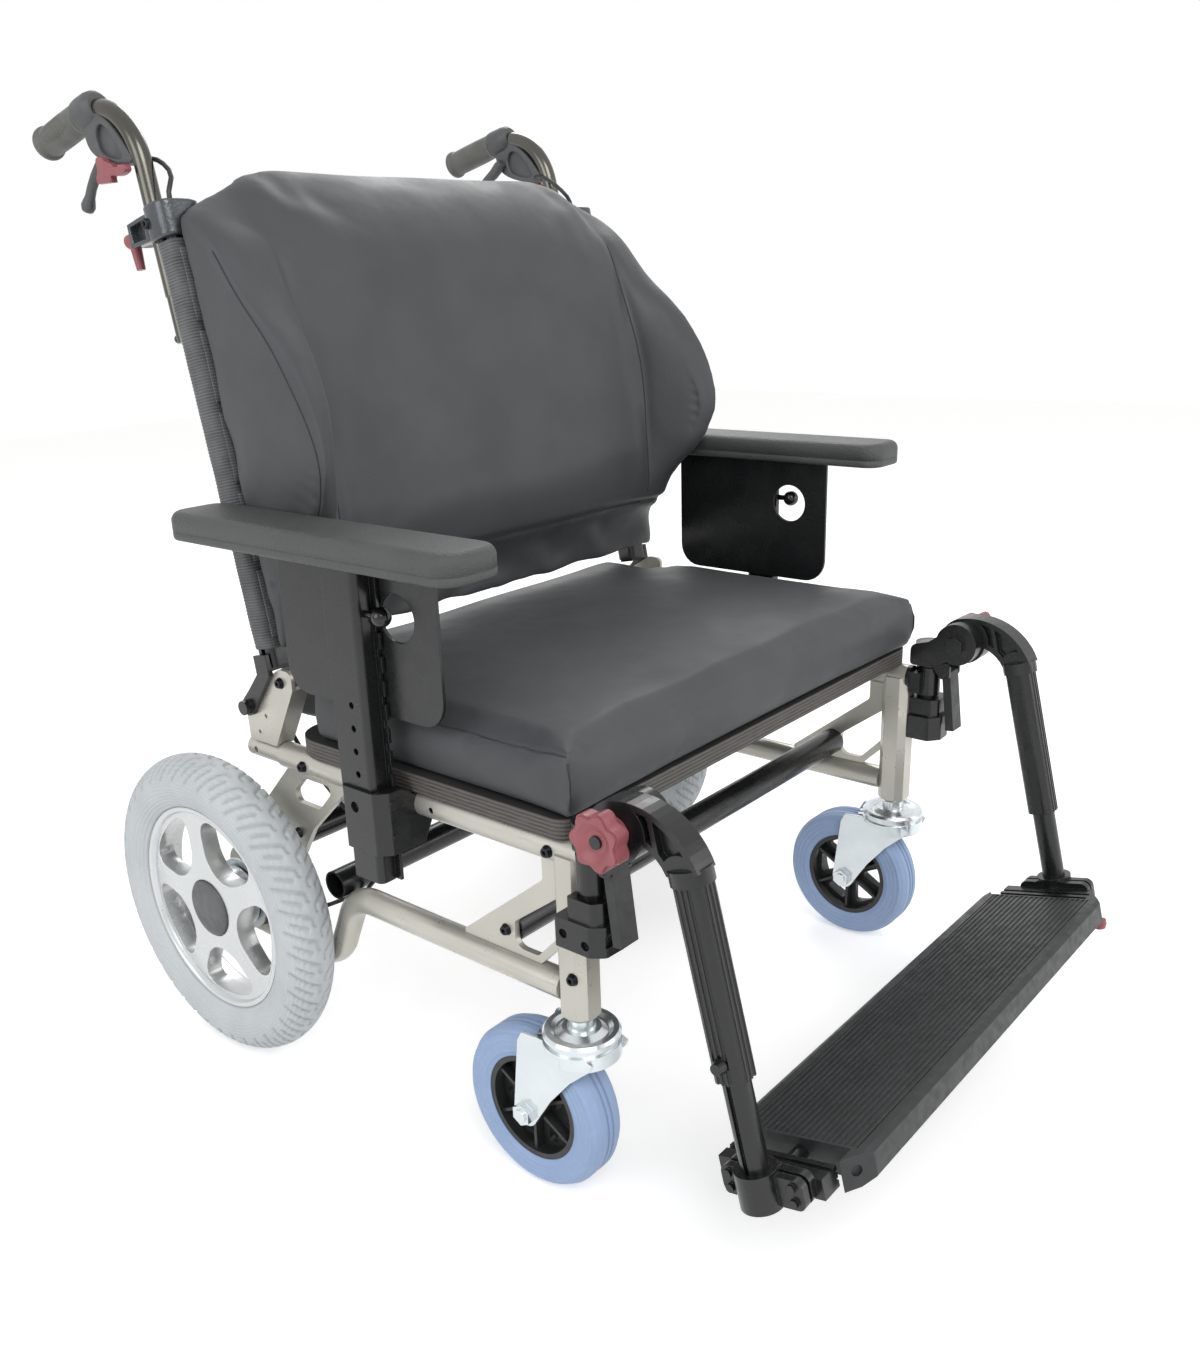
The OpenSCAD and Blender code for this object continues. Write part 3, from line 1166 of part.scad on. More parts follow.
// Back, drawn in a frame with its origin on the recline pivot and Z up along the back tubes
post_fwd = 37.7;
post_foot_up = 33;
foot_t = 3;
lever_t = 5;
lever_x = 288.2 - lever_t / 2 + slide_gap;
back_x = back_post_w / 2;
module in_back() translate([0, pivot.x, pivot.y]) rotate([-back_lean, 0, 0]) children();
back_tube_outer_x = back_x + back_post_size.x / 2;
lever_in_x = bracket_x + bracket_t / 2 + slide_gap;
module back_levers() color(dark) placed() both_sides() {
  in_back() {
    plate(lever_in_x + lever_t / 2, lever_t)
      polygon(concat(arc([0, 0], 9, 215, 400, 10),
        [[-8, 16], [-post_fwd + 10, post_foot_up - 2], [-post_fwd + 9, post_foot_up + 16],
          [-post_fwd - 9, post_foot_up + 16], [-post_fwd - 9, post_foot_up - 4]]));
    translate([back_x - back_post_size.x / 2 + 2.5, -post_fwd - 9, post_foot_up])
      cube([lever_in_x + lever_t - back_x + back_post_size.x / 2 - 2.5, 18, foot_t]);
  }
  x_bar(pivot.x, pivot.y, bracket_x - bracket_t, lever_in_x + small, pivot_r);
  x_bar(pivot.x, pivot.y, lever_in_x + lever_t - small, lever_in_x + lever_t + 6, 7);
}

tube_foot_up = post_foot_up + foot_t;
slot_w = 6;
slot_d = 4;
module back_tubes() color(black) placed() both_sides() in_back()
  translate([back_x, -post_fwd, tube_foot_up]) difference() {
    linear_extrude(back_post_l) difference() {
      polygon(rounded(box_outline(back_post_size.x, back_post_size.y), 6));
      circle(cable_bore_r);
      translate([back_post_size.x / 2 - slot_d, -slot_w / 2]) square([slot_d + overrun, slot_w]);
    }
  }

sleeve_low = 18;
clamp_z = 384;
clamp_height = 30;
rib_step = 8;
sleeve_rib = 0.8;
sleeve_l = clamp_z - sleeve_low - 2;
module sleeve_2d(extra) difference() {
  polygon(rounded(box_outline(back_post_size.x + 2 * sleeve_t + extra, back_post_size.y + 2 * sleeve_t + extra), 7));
  polygon(rounded(box_outline(back_post_size.x + fit_gap, back_post_size.y + fit_gap), 6));
}
module back_sleeves() color(grey) placed() both_sides() in_back()
  translate([back_x, -post_fwd, tube_foot_up + sleeve_low]) {
    linear_extrude(sleeve_l) sleeve_2d(0);
  }

strap_h = 62;
strap_gap = 9;
strap_count = 5;
strap_t = 2.7;
back_face = post_fwd + back_post_size.y / 2 + sleeve_t + strap_t;
strap_inner = back_x + back_post_size.x / 2 - 4;
module back_straps() color(dark) placed() in_back()
  for (i = [0:strap_count - 1])
    translate([-strap_inner, -back_face, tube_foot_up + sleeve_low + 10 + i * (strap_h + strap_gap)])
      cube([2 * strap_inner, strap_t, strap_h]);

// Clamps on top of the back tubes that also hold the handle tubes
handle_x = handle_w / 2;
handle_back = 26;
clamp_round = 21;
clamp_bolt_up = 15;
barrel_y = 30;
module handle_clamps() color(grey) placed() both_sides() in_back()
  translate([0, -post_fwd, tube_foot_up + clamp_z]) difference() {
    union() {
      linear_extrude(clamp_height) polygon(rounded([
        [back_x - 20, -16], [back_x + 20, -16], [back_x + 21, 14],
        [handle_x + 17, handle_back + 14], [handle_x + 8, handle_back + barrel_y],
        [handle_x - 8, handle_back + barrel_y], [handle_x - 17, handle_back + 14],
        [back_x - 21, 14]], [14, 14, 8, 8, 5, 5, 8, 8]));
      translate([back_x + 20, 12, clamp_bolt_up]) rotate([0, 90, 0]) cylinder(h = 5, r = 5);
    }
    translate([back_x, 0, -overrun]) linear_extrude(clamp_height + 2 * overrun)
      polygon(rounded(box_outline(back_post_size.x + fit_gap, back_post_size.y + fit_gap), 6));
    translate([handle_x, handle_back, -overrun])
      cylinder(h = clamp_height + 2 * overrun, r = handle_r + pin_gap * 2);
    translate([handle_x - 2, handle_back, -overrun]) cube([4, barrel_y + overrun, clamp_height + 2 * overrun]);
    translate([handle_x - 30, handle_back + 17, 8]) cube([60, 7, 14]);
  }

// Handles in the back's frame: straight up through the clamp, then bent back to the grip
handle_low = tube_foot_up + clamp_z - 84;
handle_y = -post_fwd + handle_back;
bend_up = tube_foot_up + clamp_z + 66.5;
droop = grip_droop - back_lean;
bend_turn = 90 + droop;
bend_c = [handle_y + handle_bend_r, bend_up];
bend_end = bend_c + handle_bend_r * [sin(droop), cos(droop)];
grip_dir = [cos(droop), -sin(droop)];
lead = 8;
grip_start = bend_end + lead * grip_dir;
grip_end = grip_start + grip_l * grip_dir;
grip_r = 14.5;
step_up = 41.5;
handle_low_r = 10;
grip_flange_t = 3;
cable_bore_r = 5;
module push_handle(side) color(dark) placed() on_side(side) in_back() {
  rod([handle_x, handle_y, handle_low + step_up], [handle_x, handle_y, bend_up + bend_lap],
    handle_r);
  rod([handle_x, handle_y, handle_low], [handle_x, handle_y, handle_low + step_up + overrun],
    handle_low_r);
  bend(handle_x, bend_c, handle_bend_r, 90 - droop, bend_turn, handle_r);
  lapped([handle_x, bend_end.x, bend_end.y], [handle_x, grip_start.x, grip_start.y], handle_r);
  rod([handle_x, grip_start.x, grip_start.y], [handle_x, grip_end.x, grip_end.y], grip_r);
  rod([handle_x, grip_end.x, grip_end.y] - [0, grip_dir.x, grip_dir.y],
    [handle_x, grip_end.x, grip_end.y] + grip_flange_t * [0, grip_dir.x, grip_dir.y],
    grip_r + 2);
  rod([handle_x, handle_y + handle_low_r, handle_low + 4],
    [handle_x, handle_y + handle_low_r, handle_low + step_up + overrun], 2);
  x_bar(handle_y + handle_low_r + 1, handle_low + 5, handle_x - 4, handle_x + 4, 4);
}

// Outlines of the brake parts as (y, z) from the middle of the handle bend, in the chair's frame
pin_r = 2;
collar_back = -7;
lever_pivot = [546, 874];
latch_pivot = [522, 860];
cable_r = 2.2;
handle_cable_path = [[268, 508, 860], [262, 500, 859.5], [255, 490, 858], [251.5, 480, 856],
  [251.5, 469, 854], [254, 459, 851.5], [259, 450, 846.5], [264, 445.6, 839], [267.2, 444.8, 831],
  [268, 443.6, 822], [268, 442, 812], [268, 439.8, 800], [268, 420.4, 700]];
module housing_bore() in_back() {
  bend(handle_x, bend_c, handle_bend_r, 90 - droop, bend_turn, handle_r + bore_room);
  lapped([handle_x, bend_end.x, bend_end.y], [handle_x, grip_start.x, grip_start.y]
    + [0, grip_dir.x, grip_dir.y], handle_r + bore_room - bend_over);
}
bore_room = 0.1;
module grip_room() in_back()
  rod([handle_x, grip_start.x, grip_start.y] - bore_room / 2 * [0, grip_dir.x, grip_dir.y],
    [handle_x, grip_end.x, grip_end.y], grip_r + slide_gap);
module brake_housing(side) color(grey) placed() on_side(side) {
  difference() {
    in_back() rod([handle_x, bend_end.x, bend_end.y] + collar_back * [0, grip_dir.x, grip_dir.y],
      [handle_x, grip_start.x, grip_start.y] - bore_room * [0, grip_dir.x, grip_dir.y],
      grip_r + 1);
    housing_bore();
  }
  difference() {
    plate(handle_x, 15) difference() {
      polygon(rounded([[566, 905], [560, 884], [549, 868], [518, 855], [499, 856], [496, 866],
        [507, 880], [520, 890], [536, 896]], [3, 6, 6, 6, 5, 5, 10, 8, 6]));
      polygon(rounded([[537, 890], [543, 879], [536, 868], [518, 862], [506, 864],
        [514, 876], [523, 885]], 3));
    }
    housing_bore();
    grip_room();
    x_bar(latch_pivot.x, latch_pivot.y, handle_x, handle_x + 15, pin_r + pin_gap);
    x_bar(lever_pivot.x, lever_pivot.y, handle_x - 15, handle_x, pin_r + pin_gap);
  }
  difference() {
    plate(handle_x, 5) polygon([[538, 892], [544, 880], [537, 867], [518, 861], [505, 863],
      [513, 877], [522, 886]]);
    housing_bore();
    x_bar(latch_pivot.x, latch_pivot.y, handle_x, handle_x + 15, pin_r + pin_gap);
  }
  cord_tube(handle_cable_path, cable_r);
}

module brake_lever(side) color(dark) placed() on_side(side)
  translate([0, 0, 0]) {
    plate(handle_x - 12, 8) polygon(rounded([[541, 879], [539, 871], [547, 855], [562, 846],
      [571, 833], [577, 825], [590, 829], [586, 845], [574, 858], [552, 879]],
      [3, 3, 8, 6, 3, 2, 3, 6, 6, 4]));
    x_bar(lever_pivot.x, lever_pivot.y, handle_x - 12, handle_x - 3, pin_r);
    translate([handle_x - 12, 584, 827]) sphere(8);
  }

module parking_latch(side) color(red) placed() on_side(side) {
  plate(handle_x + 12, 7) polygon(rounded([[549, 863], [529, 857], [526, 864], [518, 864],
    [517, 855], [508, 854], [507, 849], [524, 846], [531, 845], [553, 845]],
    [3, 2, 3, 3, 1, 2, 2, 3, 2, 4]));
  x_bar(latch_pivot.x, latch_pivot.y, handle_x + 3, handle_x + 12, pin_r);
}

lever_seat = handle_y + barrel_y + 0.6;
module clamp_lever(side) color(red) placed() on_side(side) in_back()
  translate([handle_x, lever_seat, tube_foot_up + clamp_z + clamp_bolt_up]) {
    rotate([-90, 0, 0]) cylinder(h = 20, r = 6.5);
    translate([0, 13, 0]) rotate([0, 180, 0]) cylinder(h = 26, r1 = 5.5, r2 = 4);
  }

// Brake cables held along the frame
frame_cable_path = [
  [248, 393, 349], [247, 387, 332], [245, 374, 312], [243, 356, 292], [243, 334, 276],
  [245, 310, 263], [249, 288, 250], [253, 273, 236], [255.5, 267, 224], [256, 273, 209],
  [256, 286, 195], [256, 301, 186.5], [256, 314, 179.5], [256.5, 327, 172], [259, 338, 166],
  [265, 348, 161.5], [273, 357, 158.5], [280, 366, 157], [285, 377, 157], [287.5, 388, 157.6],
  [287.7, 397.9, 158]];
module frame_cables() color(black) placed() both_sides() cord_tube(frame_cable_path, cable_r);

// Back cushion: a grid of front and back points between a bottom and a top outline
cols = 24;
rows = 20;
cushion_low_z = 430;
seam_z = 494;
half_back = 283;
shoulder_x = 196;
shoulder_z = back_top_z - 42;
seam_x = 228;
// Share of the full wing reach at shares of the height from the seam to the shoulders
wing_shares = [[0, 0.05], [0.08, 0.2], [0.21, 0.66], [0.33, 0.94], [0.43, 1], [0.55, 0.9],
  [0.67, 0.68], [0.84, 0.25], [1, 0]];
cushion_gap = 0.1;
function back_line(z) = pivot.x - (back_face + cushion_gap) / cos(back_lean)
  + (z - pivot.y) * tan(back_lean);
function top_at(x) = back_top_z
  - (back_top_z - shoulder_z) * pow(max(0, abs(x) - shoulder_x) / (half_back - shoulder_x), 0.85);
function wing_at(x, z) =
  wing_reach * pow(max(0, abs(x) - seam_x) / (half_back - seam_x), 0.9)
    * lookup((z - seam_z) / (shoulder_z - seam_z), wing_shares);
function round_share(t) = sqrt(max(0, 1 - pow(1 - min(1, max(0, t)), 2)));
function thick_at(x, z) =
  let (up = round_share((top_at(x) - z) / 46), side = round_share((half_back - abs(x)) / 26))
  let (skirt = z > seam_z ? 1 : 0.2 + 0.45 * pow((z - cushion_low_z) / (seam_z - cushion_low_z), 2))
  (0.24 + 0.76 * up) * (0.4 + 0.6 * side) * skirt * back_cushion_t;
function fold_at(x, z) = z < seam_z ? 2.5 * sin(x * 3.4 + z * 5) : 0;
function cushion_x(i) = half_back * (abs(2 * i / cols - 1) < 0.5
  ? (2 * i / cols - 1) * 1.45
  : sign(2 * i / cols - 1) * (0.725 + 0.275 * sin(180 * (abs(2 * i / cols - 1) - 0.5))));
function cushion_z_at(x, j) = cushion_low_z + (top_at(x) - cushion_low_z) * (j < rows * 0.75
  ? j / rows * 1.1
  : 0.825 + 0.175 * sin(90 * (j / rows - 0.75) * 4));
function front_point(i, j) =
  let (x = cushion_x(i), z = cushion_z_at(x, j))
  [x, back_line(z) - thick_at(x, z) - wing_at(x, z) + fold_at(x, z), z];
function back_point(i, j) =
  let (x = cushion_x(i), z = cushion_z_at(x, j)) [x, back_line(z), z];
module back_cushion() color(cloth) placed() {
  n = cols + 1;
  m = rows + 1;
  points = concat(
    [for (j = [0:rows], i = [0:cols]) front_point(i, j)],
    [for (j = [0:rows], i = [0:cols]) back_point(i, j)]);
  off = n * m;
  front = [for (j = [0:rows - 1], i = [0:cols - 1]) each [
    [j * n + i, (j + 1) * n + i, (j + 1) * n + i + 1],
    [j * n + i, (j + 1) * n + i + 1, j * n + i + 1]]];
  back = [for (f = front) [f[0] + off, f[2] + off, f[1] + off]];
  low = [for (i = [0:cols - 1]) each [[i, i + 1, off + i + 1], [i, off + i + 1, off + i]]];
  high = [for (i = [0:cols - 1]) let (a = rows * n + i) each [
    [a, off + a, off + a + 1], [a, off + a + 1, a + 1]]];
  near = [for (j = [0:rows - 1]) let (a = j * n) each [
    [a, off + a, off + a + n], [a, off + a + n, a + n]]];
  far = [for (j = [0:rows - 1]) let (a = j * n + cols) each [
    [a, a + n, off + a + n], [a, off + a + n, off + a]]];
  polyhedron(points, concat(front, back, low, high, near, far));
}

seat_rails();
uprights();
lower_rails();
side_gussets();
rear_side_plates();
crossbars();
rail_inserts();
recline_brackets();
frame_bolts();
seat_board();
seat_cushion();
arm_sockets();
arm_posts();
caster_heads();
wheel_axles();
hanger_sockets();
leg_hangers();
hanger_brackets();
frame_cables();
rear_rim(1);  // rear_rim_left
rear_rim(-1);  // rear_rim_right
rear_tyre(1);  // rear_tyre_left
rear_tyre(-1);  // rear_tyre_right
caster_fork(1);  // caster_fork_left
caster_fork(-1);  // caster_fork_right
caster_tyre(1);  // caster_tyre_left
caster_tyre(-1);  // caster_tyre_right
caster_centre(1);  // caster_centre_left
caster_centre(-1);  // caster_centre_right
arm_pad(1);  // arm_pad_left
arm_pad(-1);  // arm_pad_right
side_panel(1);  // side_panel_left
side_panel(-1);  // side_panel_right
lock_knob(1);  // lock_knob_left
lock_knob(-1);  // lock_knob_right
back_levers();
back_tubes();
back_sleeves();
back_straps();
back_cushion();
handle_clamps();
push_handle(1);  // push_handle_left
push_handle(-1);  // push_handle_right
brake_housing(1);  // brake_housing_left
brake_housing(-1);  // brake_housing_right
brake_lever(1);  // brake_lever_left
brake_lever(-1);  // brake_lever_right
parking_latch(1);  // parking_latch_left
parking_latch(-1);  // parking_latch_right
clamp_lever(1);  // clamp_lever_left
clamp_lever(-1);  // clamp_lever_right
leg_arms();
leg_knob(1);  // leg_knob_left
leg_knob(-1);  // leg_knob_right
leg_extensions();
foot_clamps();
footplate();
release_paddle(1);  // release_paddle_left
release_paddle(-1);  // release_paddle_right
footplate_catch();
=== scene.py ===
# %% [markdown]
# # A comfort wheelchair with a reclining back
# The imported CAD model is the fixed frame. It is loaded here and never moved. The cells below
# give every CAD piece a material built from nodes, and put sewn, padded, woven, cast and bent
# pieces in place of plainer solids. Lengths are metres, the floor is Z = 0, the front faces -Y.

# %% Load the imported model
import bpy, bmesh, json, math
from mathutils import Vector, Matrix, noise
from mathutils.bvhtree import BVHTree

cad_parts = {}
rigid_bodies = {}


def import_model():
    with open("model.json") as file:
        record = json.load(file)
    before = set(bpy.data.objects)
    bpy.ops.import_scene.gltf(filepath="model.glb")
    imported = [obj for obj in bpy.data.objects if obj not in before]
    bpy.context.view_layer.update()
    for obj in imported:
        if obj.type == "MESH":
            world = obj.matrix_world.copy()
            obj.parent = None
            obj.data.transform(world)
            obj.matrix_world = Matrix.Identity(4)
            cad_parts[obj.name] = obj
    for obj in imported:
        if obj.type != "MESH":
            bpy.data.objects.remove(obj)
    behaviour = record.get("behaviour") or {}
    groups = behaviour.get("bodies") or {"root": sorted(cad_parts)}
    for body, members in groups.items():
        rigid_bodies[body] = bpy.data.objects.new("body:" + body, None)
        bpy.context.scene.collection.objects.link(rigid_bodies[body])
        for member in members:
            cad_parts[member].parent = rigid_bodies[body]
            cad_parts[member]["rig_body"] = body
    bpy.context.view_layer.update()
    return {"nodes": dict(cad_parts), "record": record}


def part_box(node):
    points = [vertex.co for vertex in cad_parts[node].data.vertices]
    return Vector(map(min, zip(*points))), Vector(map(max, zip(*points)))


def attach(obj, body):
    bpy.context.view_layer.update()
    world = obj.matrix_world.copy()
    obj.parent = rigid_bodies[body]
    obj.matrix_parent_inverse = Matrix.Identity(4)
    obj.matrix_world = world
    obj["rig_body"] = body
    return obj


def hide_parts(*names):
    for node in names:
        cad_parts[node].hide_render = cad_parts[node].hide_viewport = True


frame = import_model()
nodes = frame["nodes"]
scene = bpy.context.scene
# the photograph's near side is the chair's right, at -X
SIDES = ((-1, "right"), (1, "left"))

# %% [markdown]
# ## Camera
# A camera can be placed by eye, or worked out from known sizes. Here the wheels, the seat and
# the rails were fitted to the photograph, which gives a place, three turns and a focal length.
# The view is about 49 degrees round from the front and 19 degrees down.

# %% Camera
FRONT_Y = -0.2007          # the front uprights
YAW, PITCH, ROLL = 0.859848, 0.337085, -0.035968
WIDE, HIGH = 1200, 1354
FOCAL, CENTRE_X, CENTRE_Y = 1250.044, 586.587, 709.999


def placed(name, data):
    """A new object in the scene."""
    obj = bpy.data.objects.new(name, data)
    scene.collection.objects.link(obj)
    return obj


look = Vector((math.sin(YAW) * math.cos(PITCH), math.cos(YAW) * math.cos(PITCH), -math.sin(PITCH)))
right = look.cross(Vector((0, 0, 1))).normalized()
up = right.cross(look)
across = math.cos(ROLL) * right + math.sin(ROLL) * up
above = -math.sin(ROLL) * right + math.cos(ROLL) * up
camera = placed("Camera", bpy.data.cameras.new("Camera"))
camera.location = (-0.933757, -0.586630 + FRONT_Y, 0.751211)
camera.rotation_mode = "QUATERNION"
camera.rotation_quaternion = Matrix((across, above, -look)).transposed().to_quaternion()
camera.data.sensor_width = 36
camera.data.lens = FOCAL / HIGH * 36
camera.data.shift_x = (WIDE / 2 - CENTRE_X) / HIGH
camera.data.shift_y = (CENTRE_Y - HIGH / 2) / HIGH
camera.data.clip_start, camera.data.clip_end = 0.05, 30
scene.camera = camera
print("lens", round(camera.data.lens, 2))

# %% [markdown]
# ## Material tools
# One function turns a hex colour to linear light, and one adds a node. Patterns read Object
# coordinates, so a scale of 1 / size gives a pattern its real size in metres.

# %% Colour and node helpers
def lin(code):
    """Linear colour of a hex sRGB code."""
    parts = [int(code[i:i + 2], 16) / 255 for i in (1, 3, 5)]
    return tuple(c / 12.92 if c <= 0.04045 else ((c + 0.055) / 1.055) ** 2.4 for c in parts) + (1,)


def fill(tree, node, inputs):
    """Sets a node's inputs. An output is linked, and a hex code becomes a colour."""
    for name, value in inputs.items():
        if isinstance(value, bpy.types.NodeSocket):
            tree.links.new(value, node.inputs[name])
        else:
            node.inputs[name].default_value = lin(value) if isinstance(value, str) else value


def add(tree, kind, out, inputs, **settings):
    """Adds a node, sets it up, fills its inputs, and gives back one output."""
    node = tree.nodes.new("ShaderNode" + kind)
    for name, value in settings.items():
        setattr(node, name, value)
    fill(tree, node, inputs)
    return node if out is None else node.outputs[out]


def blank(name):
    """A new material: its node tree, its shader and the piece's own coordinates."""
    mat = bpy.data.materials.new(name)
    mat.use_nodes = True
    tree = mat.node_tree
    tree.nodes.clear()
    shader = add(tree, "BsdfPrincipled", None, {})
    add(tree, "OutputMaterial", None, {"Surface": shader.outputs[0]})
    return mat, tree, shader, add(tree, "TexCoord", "Object", {})


# %% Patterns, blends and bumps
NOISE_LOW, NOISE_HIGH = 0.35, 0.65      # noise seldom leaves this range


def calc(tree, operation, *values):
    """One sum on numbers or outputs of nodes."""
    return add(tree, "Math", 0, dict(enumerate(values)), operation=operation)


def noisy(tree, where, size, detail):
    """Noise with lumps of a size in metres."""
    return add(tree, "TexNoise", "Fac", {"Vector": where, "Scale": 1 / size, "Detail": detail})


def striped(tree, where, pitch, axis="X", wobble=0.0):
    """Even stripes along an axis, a pitch in metres apart."""
    return add(tree, "TexWave", "Fac", {"Vector": where, "Scale": math.pi / 10 / pitch,
                                        "Distortion": wobble}, bands_direction=axis)


def spread(tree, value, low=NOISE_LOW, high=NOISE_HIGH, least=0.0, most=1.0):
    """Brings what lies between low and high to the range from least to most."""
    return add(tree, "MapRange", "Result", {"Value": value, "From Min": low, "From Max": high,
                                            "To Min": least, "To Max": most})


def blend(tree, share, first, second):
    """Mixes two colours, each a hex code or the output of a node."""
    return add(tree, "Mix", 2, {0: share, 6: first, 7: second}, data_type="RGBA")


def clouded(tree, cloud, first, second):
    """Drifts from one colour to another with a soft noise."""
    return blend(tree, spread(tree, cloud), first, second)


def bumped(tree, height, distance, over=None):
    """A normal shaped by heights, on top of another normal where one is given."""
    under = {} if over is None else {"Normal": over}
    return add(tree, "Bump", "Normal", {"Height": height, "Distance": distance, **under})


print("scale of 1 mm stripes", round(math.pi / 10 / 0.001))

# %% [markdown]
# ## Painted, plated and moulded pieces
# Frame tubes are sprayed with powder that melts into a skin: even colour, a faint orange peel,
# and edges rubbed a little. Zinc plate is clear and bluish with cloudy patches. Moulded parts
# keep the fine grain of their mould. Each could be its own tree, but they differ only in
# numbers, so one recipe serves them all. Grain finer than a pixel is drawn at about 0.6 mm.

# %% Recipe for a hard surface
SOFT_EDGE = 0.0008


def hard(name, colour, other, worn, rough, metallic=0.0, grain=0.0006, depth=0.00004, spot=0.03,
         wear=0.35):
    """Cloudy colour, fine grain, softened edges, and wear where the edges are."""
    mat, tree, shader, where = blank(name)
    tone = clouded(tree, noisy(tree, where, spot, 3.0), colour, other)
    soft = add(tree, "Bevel", "Normal", {"Radius": SOFT_EDGE}, samples=4)
    plain = add(tree, "NewGeometry", "Normal", {})
    turn = add(tree, "VectorMath", "Value", {0: soft, 1: plain}, operation="DOT_PRODUCT")
    chips = spread(tree, noisy(tree, where, 0.008, 4.0), 0.42, 0.62, 0.0, wear)
    rub = calc(tree, "MULTIPLY", spread(tree, turn, 0.995, 0.85), chips)
    smear = noisy(tree, where, spot / 3, 5.0)
    fill(tree, shader, {
        "Base Color": blend(tree, rub, tone, worn),
        "Roughness": spread(tree, smear, least=rough * 0.82, most=rough * 1.2),
        "Metallic": metallic,
        "Normal": bumped(tree, noisy(tree, where, grain, 2.0), depth, soft)})
    return mat


# %% Metals, paint and plastics of this chair
paint = {
    # powder coat with metal flake: a warm, half-metal silver, brighter on the cast rims
    "frame_paint": hard("silver_powder_coat", "#b9b7ae", "#c0beb5", "#96948c", 0.33, 0.55, spot=0.09),
    "rim_paint": hard("silver_coated_alloy", "#c6c9c9", "#cccfcf", "#a4a6a6", 0.28, 0.7, depth=0.00002,
                      spot=0.15, wear=0.1),
    "zinc": hard("clear_zinc_plate", "#d3dadd", "#dbe1e4", "#b4babc", 0.22, 0.9, 0.0008, 0.00002, 0.04),
    # black coats: deep tone with long lights, greyer where they rub through
    "black_paint": hard("black_powder_coat", "#141516", "#191a1b", "#45474a", 0.27, grain=0.0007,
                        depth=0.00003, spot=0.06),
    "black_steel": hard("black_oxide_steel", "#17181a", "#242628", "#6a6c6e", 0.32, 0.7, 0.0005, 0.00002),
    # hammer paint draws itself into dimples about 3 mm wide, so its light breaks into flecks
    "grey_cast": hard("hammered_grey_enamel", "#4b4f51", "#565a5d", "#8a8d8f", 0.25, 0.6, 0.0028, 0.0003),
    # satin nickel plate, grey and slightly warm, its colour darkened as a painted dark reflection:
    # one long bright light beside a dark one
    "handle_paint": hard("satin_nickel_painted_dark_reflection", "#595852", "#605f59", "#8c8a82", 0.17, 0.95, spot=0.06),
    "grey_plastic": hard("grey_nylon", "#4a4c4d", "#525455", "#6c6e6f", 0.48, 0.0, 0.0005, 0.00005),
    "black_plastic": hard("black_nylon", "#1c1d1e", "#252627", "#3c3d3e", 0.44, 0.0, 0.0005, 0.00006),
    "red_plastic": hard("dark_red_nylon", "#8c484d", "#96535a", "#b47d81", 0.4, 0.0, 0.0006, 0.00004),
    "ribbed_black": hard("black_ribbed_nylon", "#222425", "#2b2d2e", "#54565a", 0.46, 0.0, 0.0006, 0.00008),
}
print("hard materials", len(paint))

# %% [markdown]
# ## Cover cloth
# The covers are a stretch knit with a thin coating. It is almost smooth, so light slides over
# it in wide soft gradients. A woven look would be wrong here: the knit shows only as a fine
# tooth, drawn at 1 mm, about twice its real pitch, and specks of lint break up the tone.

# %% Coated stretch cloth
cloth, tree, shader, where = blank("coated_stretch_cloth")
tone = clouded(tree, noisy(tree, where, 0.12, 4.0), "#3a3c3f", "#404245")
lint = spread(tree, noisy(tree, where, 0.0016, 1.0), 0.76, 0.82, 0.0, 0.6)
wale = striped(tree, where, 0.0011, "X", 0.6)
course = striped(tree, where, 0.0009, "Z", 0.6)
knit = calc(tree, "ADD", wale, course)
crease = bumped(tree, noisy(tree, where, 0.028, 2.0), 0.0006)
fill(tree, shader, {
    "Base Color": blend(tree, lint, tone, "#6c6e6d"),
    "Roughness": spread(tree, noisy(tree, where, 0.05, 5.0), least=0.48, most=0.6),
    "Normal": bumped(tree, knit, 0.00004, crease),
    "Sheen Weight": 0.3,
    "Sheen Roughness": 0.4,
    "Sheen Tint": "#8e908e"})
paint["cushion_cloth"] = cloth
print(cloth.name)

# %% [markdown]
# ## Webbing
# The tubes of the back wear a woven sleeve with a rib every 3 mm across the tube, and the
# straps behind the cushion are the same stuff. The ribs of the sleeve are real geometry further
# down. The material adds the yarn between them and the pale fuzz of handled cloth.

# %% Polyester webbing
LEAN = math.radians(11)         # the back's slope at rest
webbing, tree, shader, where = blank("polyester_webbing")
turned = add(tree, "Mapping", "Vector", {"Vector": where, "Rotation": (LEAN, 0, 0)})
rib = striped(tree, turned, 0.0026, "Z", 0.3)
yarn = striped(tree, turned, 0.0013, "X", 0.4)
tone = blend(tree, spread(tree, rib, 0.15, 0.85), "#37383a", "#57585a")
fuzz = spread(tree, noisy(tree, where, 0.02, 4.0), most=0.3)
height = calc(tree, "MULTIPLY_ADD", yarn, 0.35, rib)
fill(tree, shader, {
    "Base Color": blend(tree, fuzz, tone, "#77797b"),
    "Roughness": 0.78,
    "Normal": bumped(tree, height, 0.0003),
    "Sheen Weight": 0.3})
paint["webbing"] = webbing
print(webbing.name)

# %% [markdown]
# ## Tyre rubber
# Both tyres are a non-marking rubber: dusty, without gloss, with fine rings from the mould. The
# rings run round the axle, so their height is the sine of the distance from it. Tread grooves
# are big enough to be real geometry.

